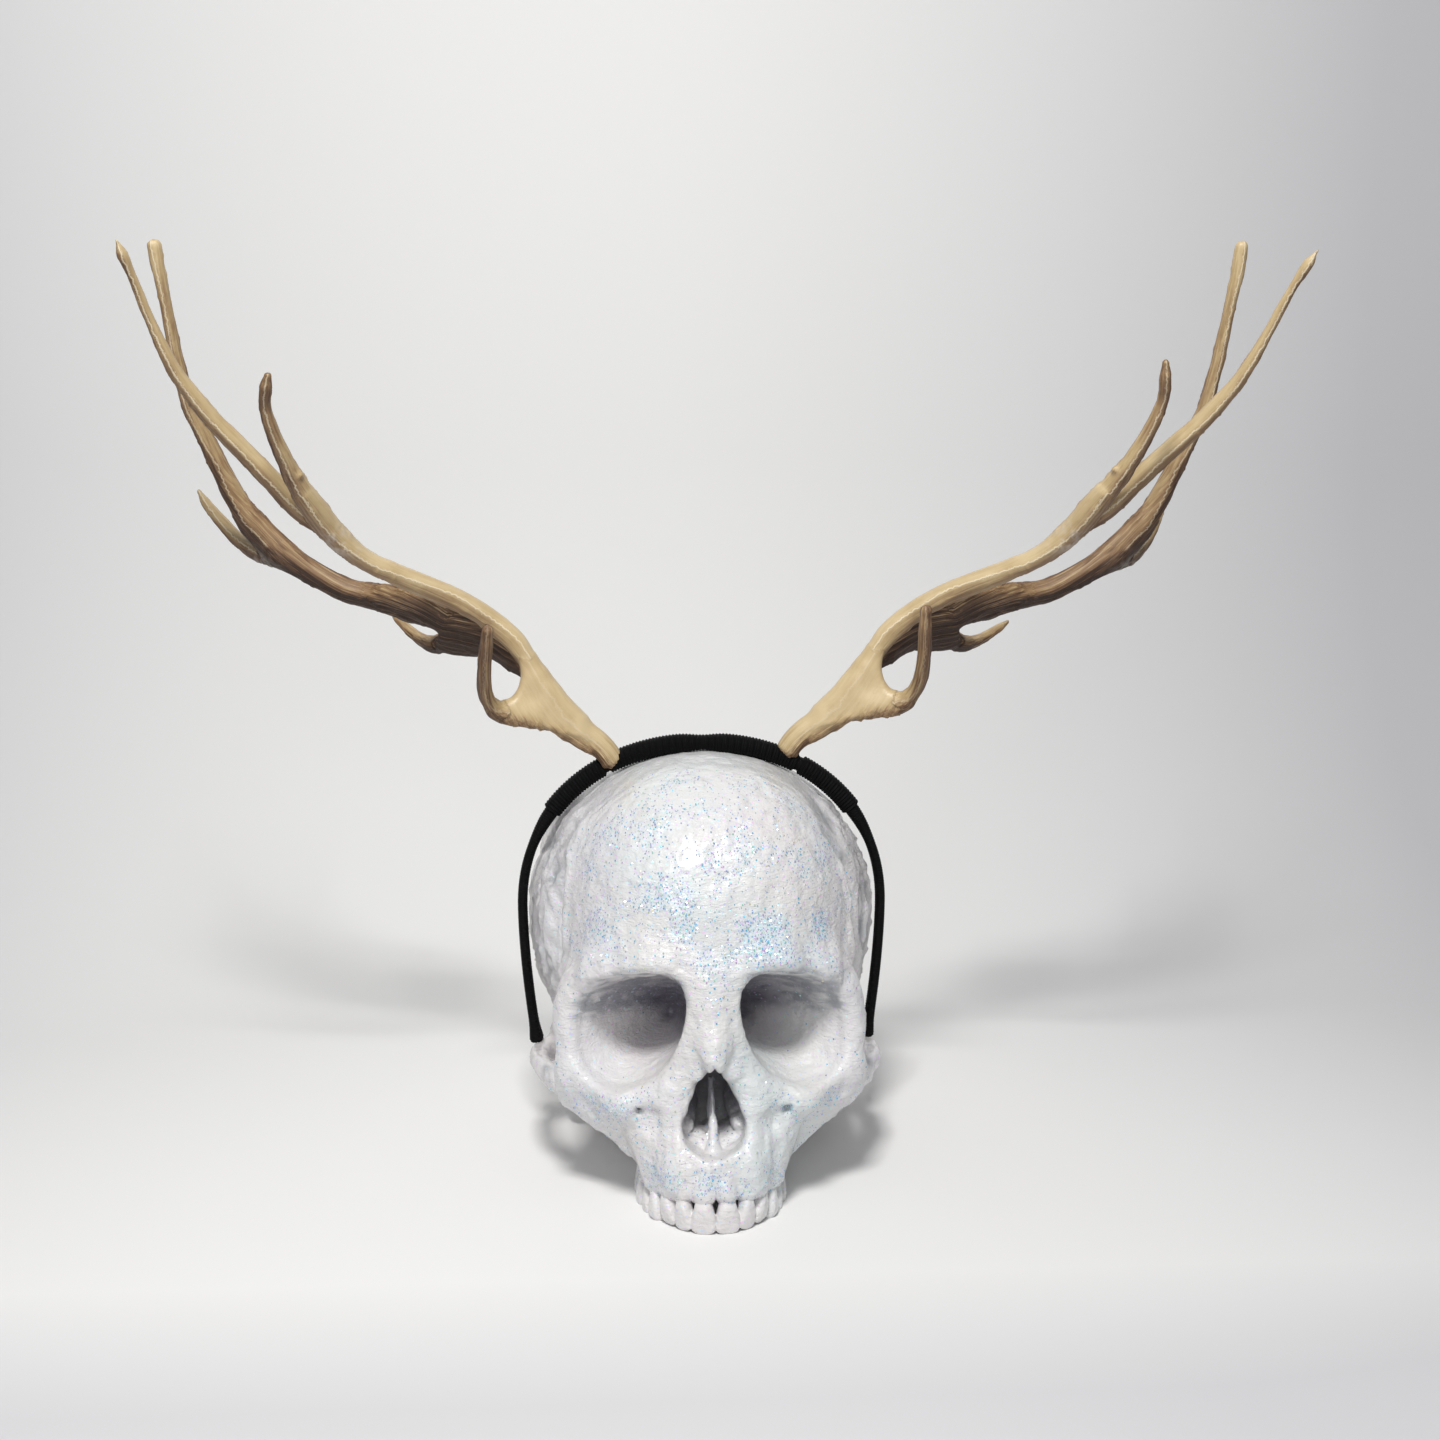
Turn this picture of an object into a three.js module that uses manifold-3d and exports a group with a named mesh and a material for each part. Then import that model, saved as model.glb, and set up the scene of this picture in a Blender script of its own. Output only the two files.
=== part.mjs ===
// A pair of costume elk antlers on a cord-wrapped headband, worn by a white display skull.
// Millimetres, +Z up. The face looks along -Y, the skull's teeth and occiput stand on z = 0,
// and the origin is under the middle of the whole display.
import * as THREE from "three";
import { mergeVertices } from "three/addons/utils/BufferGeometryUtils.js";
import Module from "manifold-3d";

const wasm = await Module();
wasm.setup();

// Driving dimensions
const GAP = 0.3; // clearance between neighbouring pieces
const SKULL_TILT_DEG = 8; // the face looks up a little, as a skull without its jaw does
const TOOTH_EDGE_H = -53.5; // edge of the front teeth, below the eye-ear plane
const FLOOR_DROP = 39.6; // from the ear axis down to the surface that the skull stands on
const BAND_HALF_WIDTH = 72.5;
const BAND_RISE = 66; // from the band's widest level to its crown
const BAND_WIDEST_Z = 95;
const BAND_END_Z = 45;
const BAND_END_HALF_WIDTH = 65;
const BAND_THICK = 3.8;
const BAND_DEEP = 7;
const BAND_SQUARENESS = 2.12; // 2 is an oval, and more is squarer at the shoulders
const WRAP_THICK = 7.6;
const WRAP_DEEP = 10;
const ANTLER_ROOT = { out: 37, back: -2.5, up: 154 };
// The right antler is the left one's mirror, set on the band by hand: turned as yaw, pitch and roll,
// and with its tines bent a little their own way.
const ANTLER_TURN_DEG = { left: [0, 0, 0], right: [-0.7, -1.7, 2.3] };
const ANTLER_SHIFT = { left: [0, 0, 0], right: [-1.8, 0, 3.7] };
const TIP_BEND = {
  left: {},
  right: {
    long_tine: [8, 0, 1],
    rear_tine: [-2, 0, 5.5],
    inner_tine: [8, 0, 5],
    brow_tine: [1.7, 0, 4],
    spur: [3.8, 0, -4.3],
    back_tine: [-10, -3, 3],
  },
};

const MATERIALS = {
  antler: new THREE.MeshStandardMaterial({ color: 0xc4ab82, roughness: 0.45, metalness: 0 }),
  cord: new THREE.MeshStandardMaterial({ color: 0x0b0b0d, roughness: 0.85, metalness: 0 }),
  skull: new THREE.MeshStandardMaterial({ color: 0xe9e6ee, roughness: 0.3, metalness: 0 }),
};

// Solids in and out of the join and cut library

function solid(geometry) {
  const bare = new THREE.BufferGeometry();
  bare.setAttribute("position", geometry.getAttribute("position"));
  if (geometry.index) bare.setIndex(geometry.index);
  const merged = mergeVertices(bare, 1e-4);
  const triVerts = new Uint32Array(merged.index.array);
  const vertProperties = new Float32Array(merged.attributes.position.array);
  return new wasm.Manifold(new wasm.Mesh({ numProp: 3, vertProperties, triVerts }));
}

function largest(body) {
  return body.decompose().reduce((a, b) => (b.volume() > a.volume() ? b : a));
}

function meshOf(body, name, material) {
  const { numProp, vertProperties, triVerts } = largest(body).getMesh();
  const place = new Float32Array((vertProperties.length / numProp) * 3);
  for (let i = 0; i < place.length / 3; i++)
    for (let k = 0; k < 3; k++) place[3 * i + k] = vertProperties[numProp * i + k];
  const geometry = new THREE.BufferGeometry();
  geometry.setAttribute("position", new THREE.BufferAttribute(place, 3));
  geometry.setIndex([...triVerts]);
  geometry.computeVertexNormals();
  const mesh = new THREE.Mesh(geometry, material);
  mesh.name = name;
  return mesh;
}

// A closed body lofted along stations { at, wide, thick, side }: an oval of wide by thick,
// whose wide axis lies along side. Both ends are rounded.
function loft(stations, { sides = 12, steps = 4, grow = 0 } = {}) {
  const curve = new THREE.CatmullRomCurve3(stations.map((s) => s.at), false, "centripetal");
  const spans = stations.length - 1;
  const rings = [];
  for (let i = 0; i <= spans * steps; i++) {
    const t = i / (spans * steps);
    const k = Math.min(spans - 1, Math.floor(t * spans));
    const w = t * spans - k;
    const ease = w * w * (3 - 2 * w);
    const mix = (key) => THREE.MathUtils.lerp(stations[k][key], stations[k + 1][key], ease);
    const along = curve.getTangent(t);
    const side = stations[k].side.clone().lerp(stations[k + 1].side, w);
    side.addScaledVector(along, -side.dot(along)).normalize();
    const across = new THREE.Vector3().crossVectors(along, side);
    rings.push({ at: curve.getPoint(t), along, side, across, a: mix("wide") / 2 + grow, b: mix("thick") / 2 + grow });
  }
  const cap = (ring, sign) => {
    const dome = 0.45 * (ring.a + ring.b);
    return [0.55, 0.9].map((lean) => {
      const shrink = Math.sqrt(1 - lean * lean);
      const at = ring.at.clone().addScaledVector(ring.along, sign * dome * lean);
      return { ...ring, at, a: ring.a * shrink, b: ring.b * shrink };
    });
  };
  const first = rings[0];
  const last = rings[rings.length - 1];
  const all = [...cap(first, -1).reverse(), ...rings, ...cap(last, 1)];
  const tip = (ring, sign) => ring.at.clone().addScaledVector(ring.along, sign * 0.45 * (ring.a + ring.b));
  const points = [tip(first, -1), tip(last, 1)];
  for (const ring of all)
    for (let j = 0; j < sides; j++) {
      const turn = (2 * Math.PI * j) / sides;
      points.push(
        ring.at
          .clone()
          .addScaledVector(ring.side, ring.a * Math.cos(turn))
          .addScaledVector(ring.across, ring.b * Math.sin(turn)),
      );
    }
  const faces = [];
  const at = (ring, j) => 2 + ring * sides + (j % sides);
  for (let j = 0; j < sides; j++) {
    faces.push(0, at(0, j + 1), at(0, j));
    faces.push(1, at(all.length - 1, j), at(all.length - 1, j + 1));
    for (let r = 0; r < all.length - 1; r++) {
      faces.push(at(r, j), at(r, j + 1), at(r + 1, j + 1));
      faces.push(at(r, j), at(r + 1, j + 1), at(r + 1, j));
    }
  }
  return new THREE.BufferGeometry().setFromPoints(points).setIndex(faces);
}

// Antler. A branch is a list of [outward, forward, up, wide, thick] from the antler's root,
// measured on the branch's own middle line. Its sides say which way the wide axis lies.
const IN_PICTURE = [-0.7, 0, 0.7];
const TILTED = [0, 0.78, 0.62];
const LEVEL = [0, 1, 0];
const BRANCHES = {
  base: {
    sides: [IN_PICTURE],
    path: [
      [-1, -0.5, -1, 10.5, 9],
      [4, 0.3, 4.5, 10, 9],
      [11, 1, 11.5, 10.5, 8.5],
      [19, 2, 18.5, 15.5, 8.2],
      [26.3, 3, 25.3, 21.5, 7.6],
      [30, 2.3, 31.5, 16, 8],
      [31.8, 1.3, 37.5, 11, 8.5],
    ],
  },
  brow_tine: {
    sides: [IN_PICTURE],
    path: [
      [28, 4, 23, 10, 7],
      [36, 8, 21.5, 9, 6.6],
      [43.5, 12, 23, 7.2, 6.4],
      [47, 17, 29, 6.2, 6],
      [47.2, 23, 37.5, 5.8, 5.6],
      [46, 28, 47.5, 5.2, 5.2],
      [45, 31, 56.5, 4.2, 4.2],
    ],
  },
  palm: {
    sides: [IN_PICTURE, [-0.45, 0.5, 0.75], TILTED],
    path: [
      [30, 2, 34, 12, 8.5],
      [38, -2, 46, 17, 8.5],
      [48, -5, 52, 27, 8],
      [59, -8, 55.5, 31, 7.5],
      [70, -8, 61, 25, 7.5],
    ],
  },
  front_beam: {
    sides: [LEVEL],
    path: [
      [44, 2, 55, 9, 9.5],
      [56, 5, 63.5, 10, 10.5],
      [69, 9, 69.5, 10, 10.5],
      [80.5, 14, 74.5, 9.4, 10],
      [91.5, 20, 81, 9, 9.8],
      [100, 27, 90, 9, 10],
      [107, 36, 100.5, 8.5, 9.4],
    ],
  },
  inner_tine: {
    sides: [LEVEL],
    path: [
      [104, 33, 96.5, 8.4, 9],
      [112, 44, 111.5, 7.6, 8.4],
      [114.5, 51, 121, 6.2, 6.8],
      [116.8, 58, 130.5, 4.8, 5.2],
      [118, 63, 139, 4.2, 4.4],
      [116.5, 66, 144, 4.2, 4.4],
      [115.4, 68, 147.5, 3.4, 3.4],
    ],
  },
  long_tine: {
    sides: [LEVEL],
    path: [
      [97, 25, 87, 7, 8],
      [104, 28, 93, 7.6, 8.6],
      [114, 30, 101, 7.6, 8.4],
      [125, 36, 114.5, 7.4, 8.2],
      [133, 41, 124, 7.2, 8],
      [142, 47, 135, 6.4, 6.9],
      [151.5, 56, 151.5, 5.2, 5.4],
      [158.5, 66, 174, 4, 4],
      [162, 72, 186.5, 3.1, 3.1],
      [163.2, 74.5, 191.5, 1.2, 1.2],
    ],
  },
  rear_beam: {
    sides: [TILTED, TILTED, TILTED, [0, 0.5, 0.8], [-0.4, 0.4, 0.82]],
    path: [
      [62, -14, 55.5, 18, 8],
      [78, -17, 60, 13, 9.5],
      [105, -19, 68, 11.5, 10],
      [118, -19, 75, 11, 9.6],
      [130, -18, 82.5, 14, 9],
    ],
  },
  rear_tine: {
    sides: [[-0.5, 0.35, 0.79], [-0.84, 0.3, 0.5], [-0.5, 0.8, 0.2], LEVEL],
    path: [
      [126, -18.5, 80, 13, 9],
      [140, -16, 93, 13, 9],
      [146, -13, 105, 9.2, 9],
      [150.5, -9, 116, 7.6, 8],
      [155, -5, 128, 7, 7],
      [159.5, -1, 140, 6, 6.2],
      [162.5, 4, 159, 5, 5.2],
      [164.2, 10, 178.5, 4.5, 4.6],
      [165.5, 14, 192, 4.8, 4.8],
      [165.8, 15, 197, 4.8, 4.8],
    ],
  },
  back_tine: {
    sides: [LEVEL],
    path: [
      [130, -19, 81, 9, 8],
      [139, -25, 81.5, 8, 7.4],
      [148.5, -33, 86, 6.6, 6.2],
      [156.5, -39, 93, 6, 5.6],
      [164, -45, 100.5, 4.8, 4.4],
      [168.5, -49, 106.5, 1.8, 1.8],
    ],
  },
  spur: {
    sides: [LEVEL],
    path: [
      [53, -17, 45.5, 11, 7.5],
      [66, -27, 42, 8.5, 6.8],
      [75, -34, 44.5, 6.2, 6],
      [83, -40, 49.5, 5.2, 5],
      [90, -46, 55, 3.8, 3.8],
      [94, -51, 60, 1.8, 1.8],
    ],
  },
};
// Each piece is cut clear of the pieces named after it.
const SEATED_ON = {
  base: [],
  brow_tine: ["base"],
  palm: ["base"],
  front_beam: ["palm", "base"],
  inner_tine: ["front_beam"],
  long_tine: ["front_beam", "inner_tine"],
  rear_beam: ["palm", "front_beam"],
  rear_tine: ["rear_beam"],
  back_tine: ["rear_beam", "rear_tine"],
  spur: ["palm", "rear_beam"],
};
const WARTS = { inner_tine: { at: [109.5, 42.5, 110.5], radius: 2.2 } };

function branchSolid(name, side, grow = 0) {
  const { path, sides } = BRANCHES[name];
  const [bendOut, bendForward, bendUp] = TIP_BEND[side][name] ?? [0, 0, 0];
  const stations = path.map(([out, forward, up, wide, thick], i) => {
    const [sx, sf, sz] = sides[Math.min(i, sides.length - 1)];
    const bent = (i / (path.length - 1)) ** 1.6;
    return {
      at: new THREE.Vector3(out + bendOut * bent, -forward - bendForward * bent, up + bendUp * bent),
      wide,
      thick,
      side: new THREE.Vector3(sx, -sf, sz),
    };
  });
  const sidesCount = name === "palm" ? 14 : 8;
  const body = solid(loft(stations, { sides: sidesCount, steps: 2, grow }));
  const wart = WARTS[name];
  if (!wart) return body;
  const [out, forward, up] = wart.at;
  const bump = new THREE.SphereGeometry(wart.radius + grow, 8, 6).translate(out, -forward, up);
  return body.add(solid(bump));
}

function antlerPiece(name, side) {
  const body = branchSolid(name, side);
  return largest(SEATED_ON[name].reduce((b, other) => b.subtract(branchSolid(other, side, GAP)), body));
}

function antlerPlace(side) {
  const mirror = side === "left" ? -1 : 1;
  const [yaw, pitch, roll] = ANTLER_TURN_DEG[side].map(THREE.MathUtils.degToRad);
  const [dx, dy, dz] = ANTLER_SHIFT[side];
  return new THREE.Matrix4()
    .makeTranslation(mirror * ANTLER_ROOT.out + dx, ANTLER_ROOT.back + dy, ANTLER_ROOT.up + dz)
    .multiply(new THREE.Matrix4().makeRotationFromEuler(new THREE.Euler(pitch, roll, yaw, "ZXY")))
    .multiply(new THREE.Matrix4().makeScale(mirror, 1, 1));
}

function placed(body, side) {
  return body.transform(antlerPlace(side).toArray());
}

function antler(side) {
  const group = new THREE.Group();
  for (const name of Object.keys(SEATED_ON))
    group.add(meshOf(placed(antlerPiece(name, side), side), `antler_${side}_${name}`, MATERIALS.antler));
  return group;
}

// The room that an antler's foot takes up in the headband.
function antlerRoot(side) {
  return placed(branchSolid("base", side, GAP), side);
}

// Headband

// The middle of the band at turn, from -1 at the left end through 0 at the crown to 1.
function bandPoint(turn) {
  const side = Math.sign(turn) || 1;
  const reach = Math.abs(turn);
  const arcShare = 0.66;
  if (reach <= arcShare) {
    const angle = ((reach / arcShare) * Math.PI) / 2;
    const [across, up] = [Math.sin(angle), Math.cos(angle)].map((v) => Math.max(v, 0) ** (2 / BAND_SQUARENESS));
    return new THREE.Vector3(side * BAND_HALF_WIDTH * across, 0, BAND_WIDEST_Z + BAND_RISE * up);
  }
  const down = (reach - arcShare) / (1 - arcShare);
  const inward = (BAND_HALF_WIDTH - BAND_END_HALF_WIDTH) * down ** 1.7;
  return new THREE.Vector3(
    side * (BAND_HALF_WIDTH - inward),
    0,
    BAND_WIDEST_Z - (BAND_WIDEST_Z - BAND_END_Z) * down,
  );
}

function bandLength(from, to, { thick, deep, ends = 0, dip = 0, count, grow = 0 }) {
  const stations = [];
  for (let i = 0; i <= count; i++) {
    const share = i / count;
    const turn = THREE.MathUtils.lerp(from, to, share);
    const flare = ends * Math.exp(-(((1 - Math.abs(turn)) / 0.035) ** 2));
    const waist = dip * Math.exp(-((turn / 0.03) ** 2));
    stations.push({
      at: bandPoint(turn),
      wide: deep + flare + 2 * grow,
      thick: thick + flare * 0.4 - waist + 2 * grow,
      side: new THREE.Vector3(0, 1, 0),
    });
  }
  return solid(loft(stations, { sides: 8, steps: 1 }));
}

const WRAPS = {
  centre: { from: -0.205, to: 0.205, dip: 1.6, count: 10 },
  left: { from: -0.41, to: -0.262, dip: 0, count: 6 },
  right: { from: 0.262, to: 0.41, dip: 0, count: 6 },
};

function headband(antlerRoots) {
  const group = new THREE.Group();
  const clearOfRoots = (body) => antlerRoots.reduce((b, root) => b.subtract(root), body);
  const coreSize = { thick: BAND_THICK, deep: BAND_DEEP, ends: 2.4, count: 36 };
  const core = clearOfRoots(bandLength(-1, 1, coreSize));
  const channel = bandLength(-1, 1, { ...coreSize, grow: GAP });
  group.add(meshOf(core, "headband_hoop", MATERIALS.cord));
  for (const [name, wrap] of Object.entries(WRAPS)) {
    const sleeve = bandLength(wrap.from, wrap.to, { thick: WRAP_THICK, deep: WRAP_DEEP, ...wrap });
    group.add(meshOf(clearOfRoots(sleeve.subtract(channel)), `headband_wrap_${name}`, MATERIALS.cord));
  }
  return group;
}

// Skull. Points are [sideways, forward, up] from the middle of the ear axis, on the eye-ear plane.
// Its bone is one smooth field: below zero inside, and blended where the pieces meet.

function blend(a, b, reach) {
  const h = Math.max(reach - Math.abs(a - b), 0) / reach;
  return Math.min(a, b) - (h * h * reach) / 4;
}

function egg([cx, cf, ch], [rx, rf, rh]) {
  return ([x, f, h]) => {
    const p = [(x - cx) / rx, (f - cf) / rf, (h - ch) / rh];
    const size = Math.hypot(...p);
    const slope = Math.hypot(p[0] / rx, p[1] / rf, p[2] / rh);
    return size < 1e-9 ? -Math.min(rx, rf, rh) : (size * (size - 1)) / slope;
  };
}

function rod(a, b, ra, rb) {
  const d = b.map((v, i) => v - a[i]);
  const long = d.reduce((s, v) => s + v * v, 0);
  return (p) => {
    const q = p.map((v, i) => v - a[i]);
    const t = Math.min(1, Math.max(0, q.reduce((s, v, i) => s + v * d[i], 0) / long));
    return Math.hypot(...q.map((v, i) => v - t * d[i])) - (ra + (rb - ra) * t);
  };
}

// The skull is even on both sides, so each form is read with the sideways distance unsigned.
const VAULT = [
  egg([0, -18, 50], [70, 68, 68]),
  egg([0, 30, 50], [54, 64, 60]),
  egg([0, -48, 14], [52, 38, 48]),
  egg([0, 4, 0], [50, 44, 26]),
  egg([0, 46, 14], [43, 25, 26]),
  rod([50, -14, -8], [49, -10, -26], 12, 7.5),
];
const BROW = [rod([0, 88, 33], [26, 85, 38], 8, 6.5), rod([26, 85, 38], [48, 71, 29], 6.5, 5.5)];
const CHEEKBONE = [
  rod([48, 71, 29], [51, 66, 14], 5.5, 4.6),
  rod([51, 66, 14], [49, 67, -1], 4.6, 6.5),
  rod([49, 67, -1], [31, 80, -5], 6.5, 5.5),
  rod([49, 67, -1], [53, 58, -8], 6.5, 7),
  rod([50, 62, -10], [38, 66, -14], 8.5, 9),
  rod([46, 62, -16], [29, 64, -30], 6.5, 6),
];
const UPPER_JAW = [
  egg([0, 60, -14], [27, 26, 20]),
  egg([21, 72, -16], [13, 15, 18]),
  rod([0, 90, -37], [14, 86, -37], 6.5, 6.5),
  rod([14, 86, -37], [23, 73, -37], 6.5, 7),
  rod([23, 73, -37], [26, 52, -36], 7, 7.5),
  rod([0, 92, -27], [13, 87, -27], 5, 7),
  rod([13, 87, -27], [22, 74, -27], 7, 8),
  rod([22, 74, -27], [24, 54, -28], 8, 9),
  rod([14, 42, -14], [13, 39, -34], 6, 4.5),
];
const NOSE = [
  rod([0, 88, 30], [0, 95, 10], 6, 4.6),
  rod([0, 95, 10], [0, 99, 3], 4.6, 3.4),
  rod([8, 86, 26], [14, 84, -4], 4.6, 5),
  rod([14, 84, -4], [17, 83, -20], 5, 6),
];
const BLEND = { vault: 16, face: 6, join: 12, cut: 3 };

// Hollows: the eye sockets taper back towards the middle, and the temples are scooped.
function socket([x, f, h]) {
  const depth = Math.min(1, Math.max(0, (88 - f) / 42));
  const across = (x - (29 - 13 * depth ** 1.3)) / (19.3 * (1 - 0.72 * depth ** 1.6));
  const upward = (h - 17 + 0.1 * (x - 30)) / (18 * (1 - 0.7 * depth ** 1.6));
  const round = (Math.abs(across) ** 2.5 + Math.abs(upward) ** 2.5) ** (1 / 2.5);
  return Math.max((round - 1) * 15 * (1 - 0.6 * depth), 46 - f);
}

function noseHole([x, f, h]) {
  const rise = (h + 26) / 31; // from the floor of the opening to its peak
  const half = 12.4 * Math.sqrt(Math.max(0.02, 1 - rise)) * (1 - 0.3 * rise) * Math.min(1, 0.72 + 2.4 * rise);
  const middle = h < -10 ? Math.hypot(x, (h + 14) * 1.02) - 12 : x - half;
  return Math.max(middle, h - 4.5, -26 - h, 56 - f);
}

const HOLLOWS = [
  egg([66, 44, 2], [24, 23, 36]),
  egg([25, 95, -15], [8, 10, 10]),
  egg([0, 60, -47], [16, 28, 15]),
  egg([0, -28, -30], [14, 17, 10]),
  socket,
  noseHole,
];

function bone([x, f, h]) {
  const p = [Math.abs(x), f, h];
  const joined = (forms, reach) => forms.map((form) => form(p)).reduce((a, b) => blend(a, b, reach));
  const face = joined([...BROW, ...CHEEKBONE, ...UPPER_JAW, ...NOSE], BLEND.face);
  const whole = blend(joined(VAULT, BLEND.vault), face, BLEND.join);
  return HOLLOWS.reduce((body, hollow) => -blend(-body, hollow(p), BLEND.cut), whole);
}

// The field's surface, seen from a point inside it, as a ball whose points are pushed out to it.
function shell(centre, detail) {
  const ball = new THREE.IcosahedronGeometry(1, detail);
  const place = ball.getAttribute("position");
  const seen = new Map();
  for (let i = 0; i < place.count; i++) {
    const way = [place.getX(i), place.getY(i), place.getZ(i)];
    const key = way.map((v) => v.toFixed(4)).join();
    if (!seen.has(key)) {
      let reach = 2;
      const at = (r) => way.map((v, k) => centre[k] + v * r);
      for (let n = 0; n < 160 && reach < 140; n++) {
        const left = -bone(at(reach));
        if (left < 0.01) break;
        reach += Math.max(left * 0.8, 0.01);
      }
      seen.set(key, at(reach));
    }
    place.setXYZ(i, ...seen.get(key));
  }
  return ball;
}

// The field's whole surface inside a box, as one point in each cell that the surface crosses
// and a square face round each grid edge that it crosses.
function skin(field, low, high, cell) {
  const count = low.map((v, k) => Math.ceil((high[k] - v) / cell));
  const step = low.map((v, k) => (high[k] - v) / count[k]);
  const spot = (i, j, k) => [low[0] + i * step[0], low[1] + j * step[1], low[2] + k * step[2]];
  const id = (i, j, k) => (i * (count[1] + 1) + j) * (count[2] + 1) + k;
  const value = new Float64Array((count[0] + 1) * (count[1] + 1) * (count[2] + 1));
  for (let i = 0; i <= count[0]; i++)
    for (let j = 0; j <= count[1]; j++) for (let k = 0; k <= count[2]; k++) value[id(i, j, k)] = field(spot(i, j, k));
  // Two inside corners that only touch across a face would pinch the skin, so one of the others joins them.
  const fill = ([a, b, c, d]) => {
    const [va, vb, vc, vd] = [a, b, c, d].map((n) => value[n] < 0);
    if (va !== vc || vb !== vd || va === vb) return 0;
    const [p, q] = va ? [b, d] : [a, c];
    value[value[p] < value[q] ? p : q] = -0.2;
    return 1;
  };
  for (let changed = 1; changed; ) {
    changed = 0;
    for (let i = 0; i < count[0]; i++)
      for (let j = 0; j < count[1]; j++)
        for (let k = 0; k < count[2]; k++) {
          changed += fill([id(i, j, k), id(i + 1, j, k), id(i + 1, j + 1, k), id(i, j + 1, k)]);
          changed += fill([id(i, j, k), id(i, j + 1, k), id(i, j + 1, k + 1), id(i, j, k + 1)]);
          changed += fill([id(i, j, k), id(i, j, k + 1), id(i + 1, j, k + 1), id(i + 1, j, k)]);
        }
  }
  const points = [];
  const pointOf = new Map();
  const corners = [0, 1, 2, 3, 4, 5, 6, 7].map((c) => [c & 1, (c >> 1) & 1, (c >> 2) & 1]);
  const pointIn = (i, j, k) => {
    const key = id(i, j, k);
    if (pointOf.has(key)) return pointOf.get(key);
    const sum = [0, 0, 0];
    let crossings = 0;
    for (let a = 0; a < 8; a++)
      for (const bit of [1, 2, 4]) {
        const b = a | bit;
        if (b === a) continue;
        const [pa, pb] = [corners[a], corners[b]].map(([x, y, z]) => [i + x, j + y, k + z]);
        const [va, vb] = [value[id(...pa)], value[id(...pb)]];
        if (va < 0 === vb < 0) continue;
        const t = va / (va - vb);
        const [sa, sb] = [spot(...pa), spot(...pb)];
        for (let n = 0; n < 3; n++) sum[n] += sa[n] + t * (sb[n] - sa[n]);
        crossings++;
      }
    points.push(new THREE.Vector3(...sum).divideScalar(crossings));
    pointOf.set(key, points.length - 1);
    return points.length - 1;
  };
  const faces = [];
  for (let i = 1; i < count[0]; i++)
    for (let j = 1; j < count[1]; j++)
      for (let k = 1; k < count[2]; k++)
        for (let axis = 0; axis < 3; axis++) {
          const next = [i, j, k];
          next[axis]++;
          const inside = value[id(i, j, k)] < 0;
          if (inside === value[id(...next)] < 0) continue;
          const [u, v] = [(axis + 1) % 3, (axis + 2) % 3];
          const ring = [[0, 0], [-1, 0], [-1, -1], [0, -1]].map(([du, dv]) => {
            const c = [i, j, k];
            c[u] += du;
            c[v] += dv;
            return pointIn(...c);
          });
          if (!inside) ring.reverse();
          const [a, b, c, d] = ring;
          if (points[a].distanceTo(points[c]) < points[b].distanceTo(points[d])) faces.push(a, b, c, a, c, d);
          else faces.push(b, c, d, b, d, a);
        }
  return new THREE.BufferGeometry().setFromPoints(points).setIndex(faces);
}

const skullPlace = new THREE.Matrix4()
  .makeTranslation(0, 0, FLOOR_DROP)
  .multiply(new THREE.Matrix4().makeRotationX(THREE.MathUtils.degToRad(-SKULL_TILT_DEG)))
  .multiply(new THREE.Matrix4().set(1, 0, 0, 0, 0, -1, 0, 0, 0, 0, 1, 0, 0, 0, 0, 1));

// Puts skull points in the part's frame. The skull's forward axis is the part's -Y, a mirror,
// so the triangles are turned round to face out again.
function placeSkull(geometry) {
  const flat = geometry.index ? geometry.toNonIndexed() : geometry.clone();
  const place = flat.getAttribute("position");
  const corner = new THREE.Vector3();
  const other = new THREE.Vector3();
  for (let i = 0; i < place.count; i += 3) {
    corner.fromBufferAttribute(place, i + 1);
    other.fromBufferAttribute(place, i + 2);
    place.setXYZ(i + 1, ...other);
    place.setXYZ(i + 2, ...corner);
  }
  return flat.applyMatrix4(skullPlace);
}

function skullSolid(geometry) {
  return solid(placeSkull(geometry));
}

function skullLoft(path, side, options) {
  const stations = path.map(([x, f, h, wide, thick]) => ({
    at: new THREE.Vector3(x, f, h),
    wide,
    thick,
    side: new THREE.Vector3(...side),
  }));
  return skullSolid(loft(stations, options));
}

function septum() {
  return skullLoft(
    [
      [0.5, 66, -8, 34, 2.2],
      [0.5, 86, -10, 31, 1.8],
    ],
    [0, 0, 1],
    { sides: 8, steps: 2 },
  );
}

// Teeth on one side, from the middle: crown width and the depth of the tooth from lip to tongue.
const SEAM_FORWARD = 44; // where the face block meets the braincase
const FACE_CELL = 5.4;
const TEETH = [
  { wide: 8.6, deep: 7 },
  { wide: 6.8, deep: 6.5 },
  { wide: 7.6, deep: 8 },
  { wide: 7, deep: 9 },
  { wide: 6.8, deep: 9.4 },
  { wide: 10, deep: 11 },
  { wide: 9.4, deep: 11 },
];
const ARCH = { half: 23.5, long: 45, back: 51 };

function archPoint(angle) {
  return [ARCH.half * Math.sin(angle), ARCH.back + ARCH.long * Math.cos(angle)];
}

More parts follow.
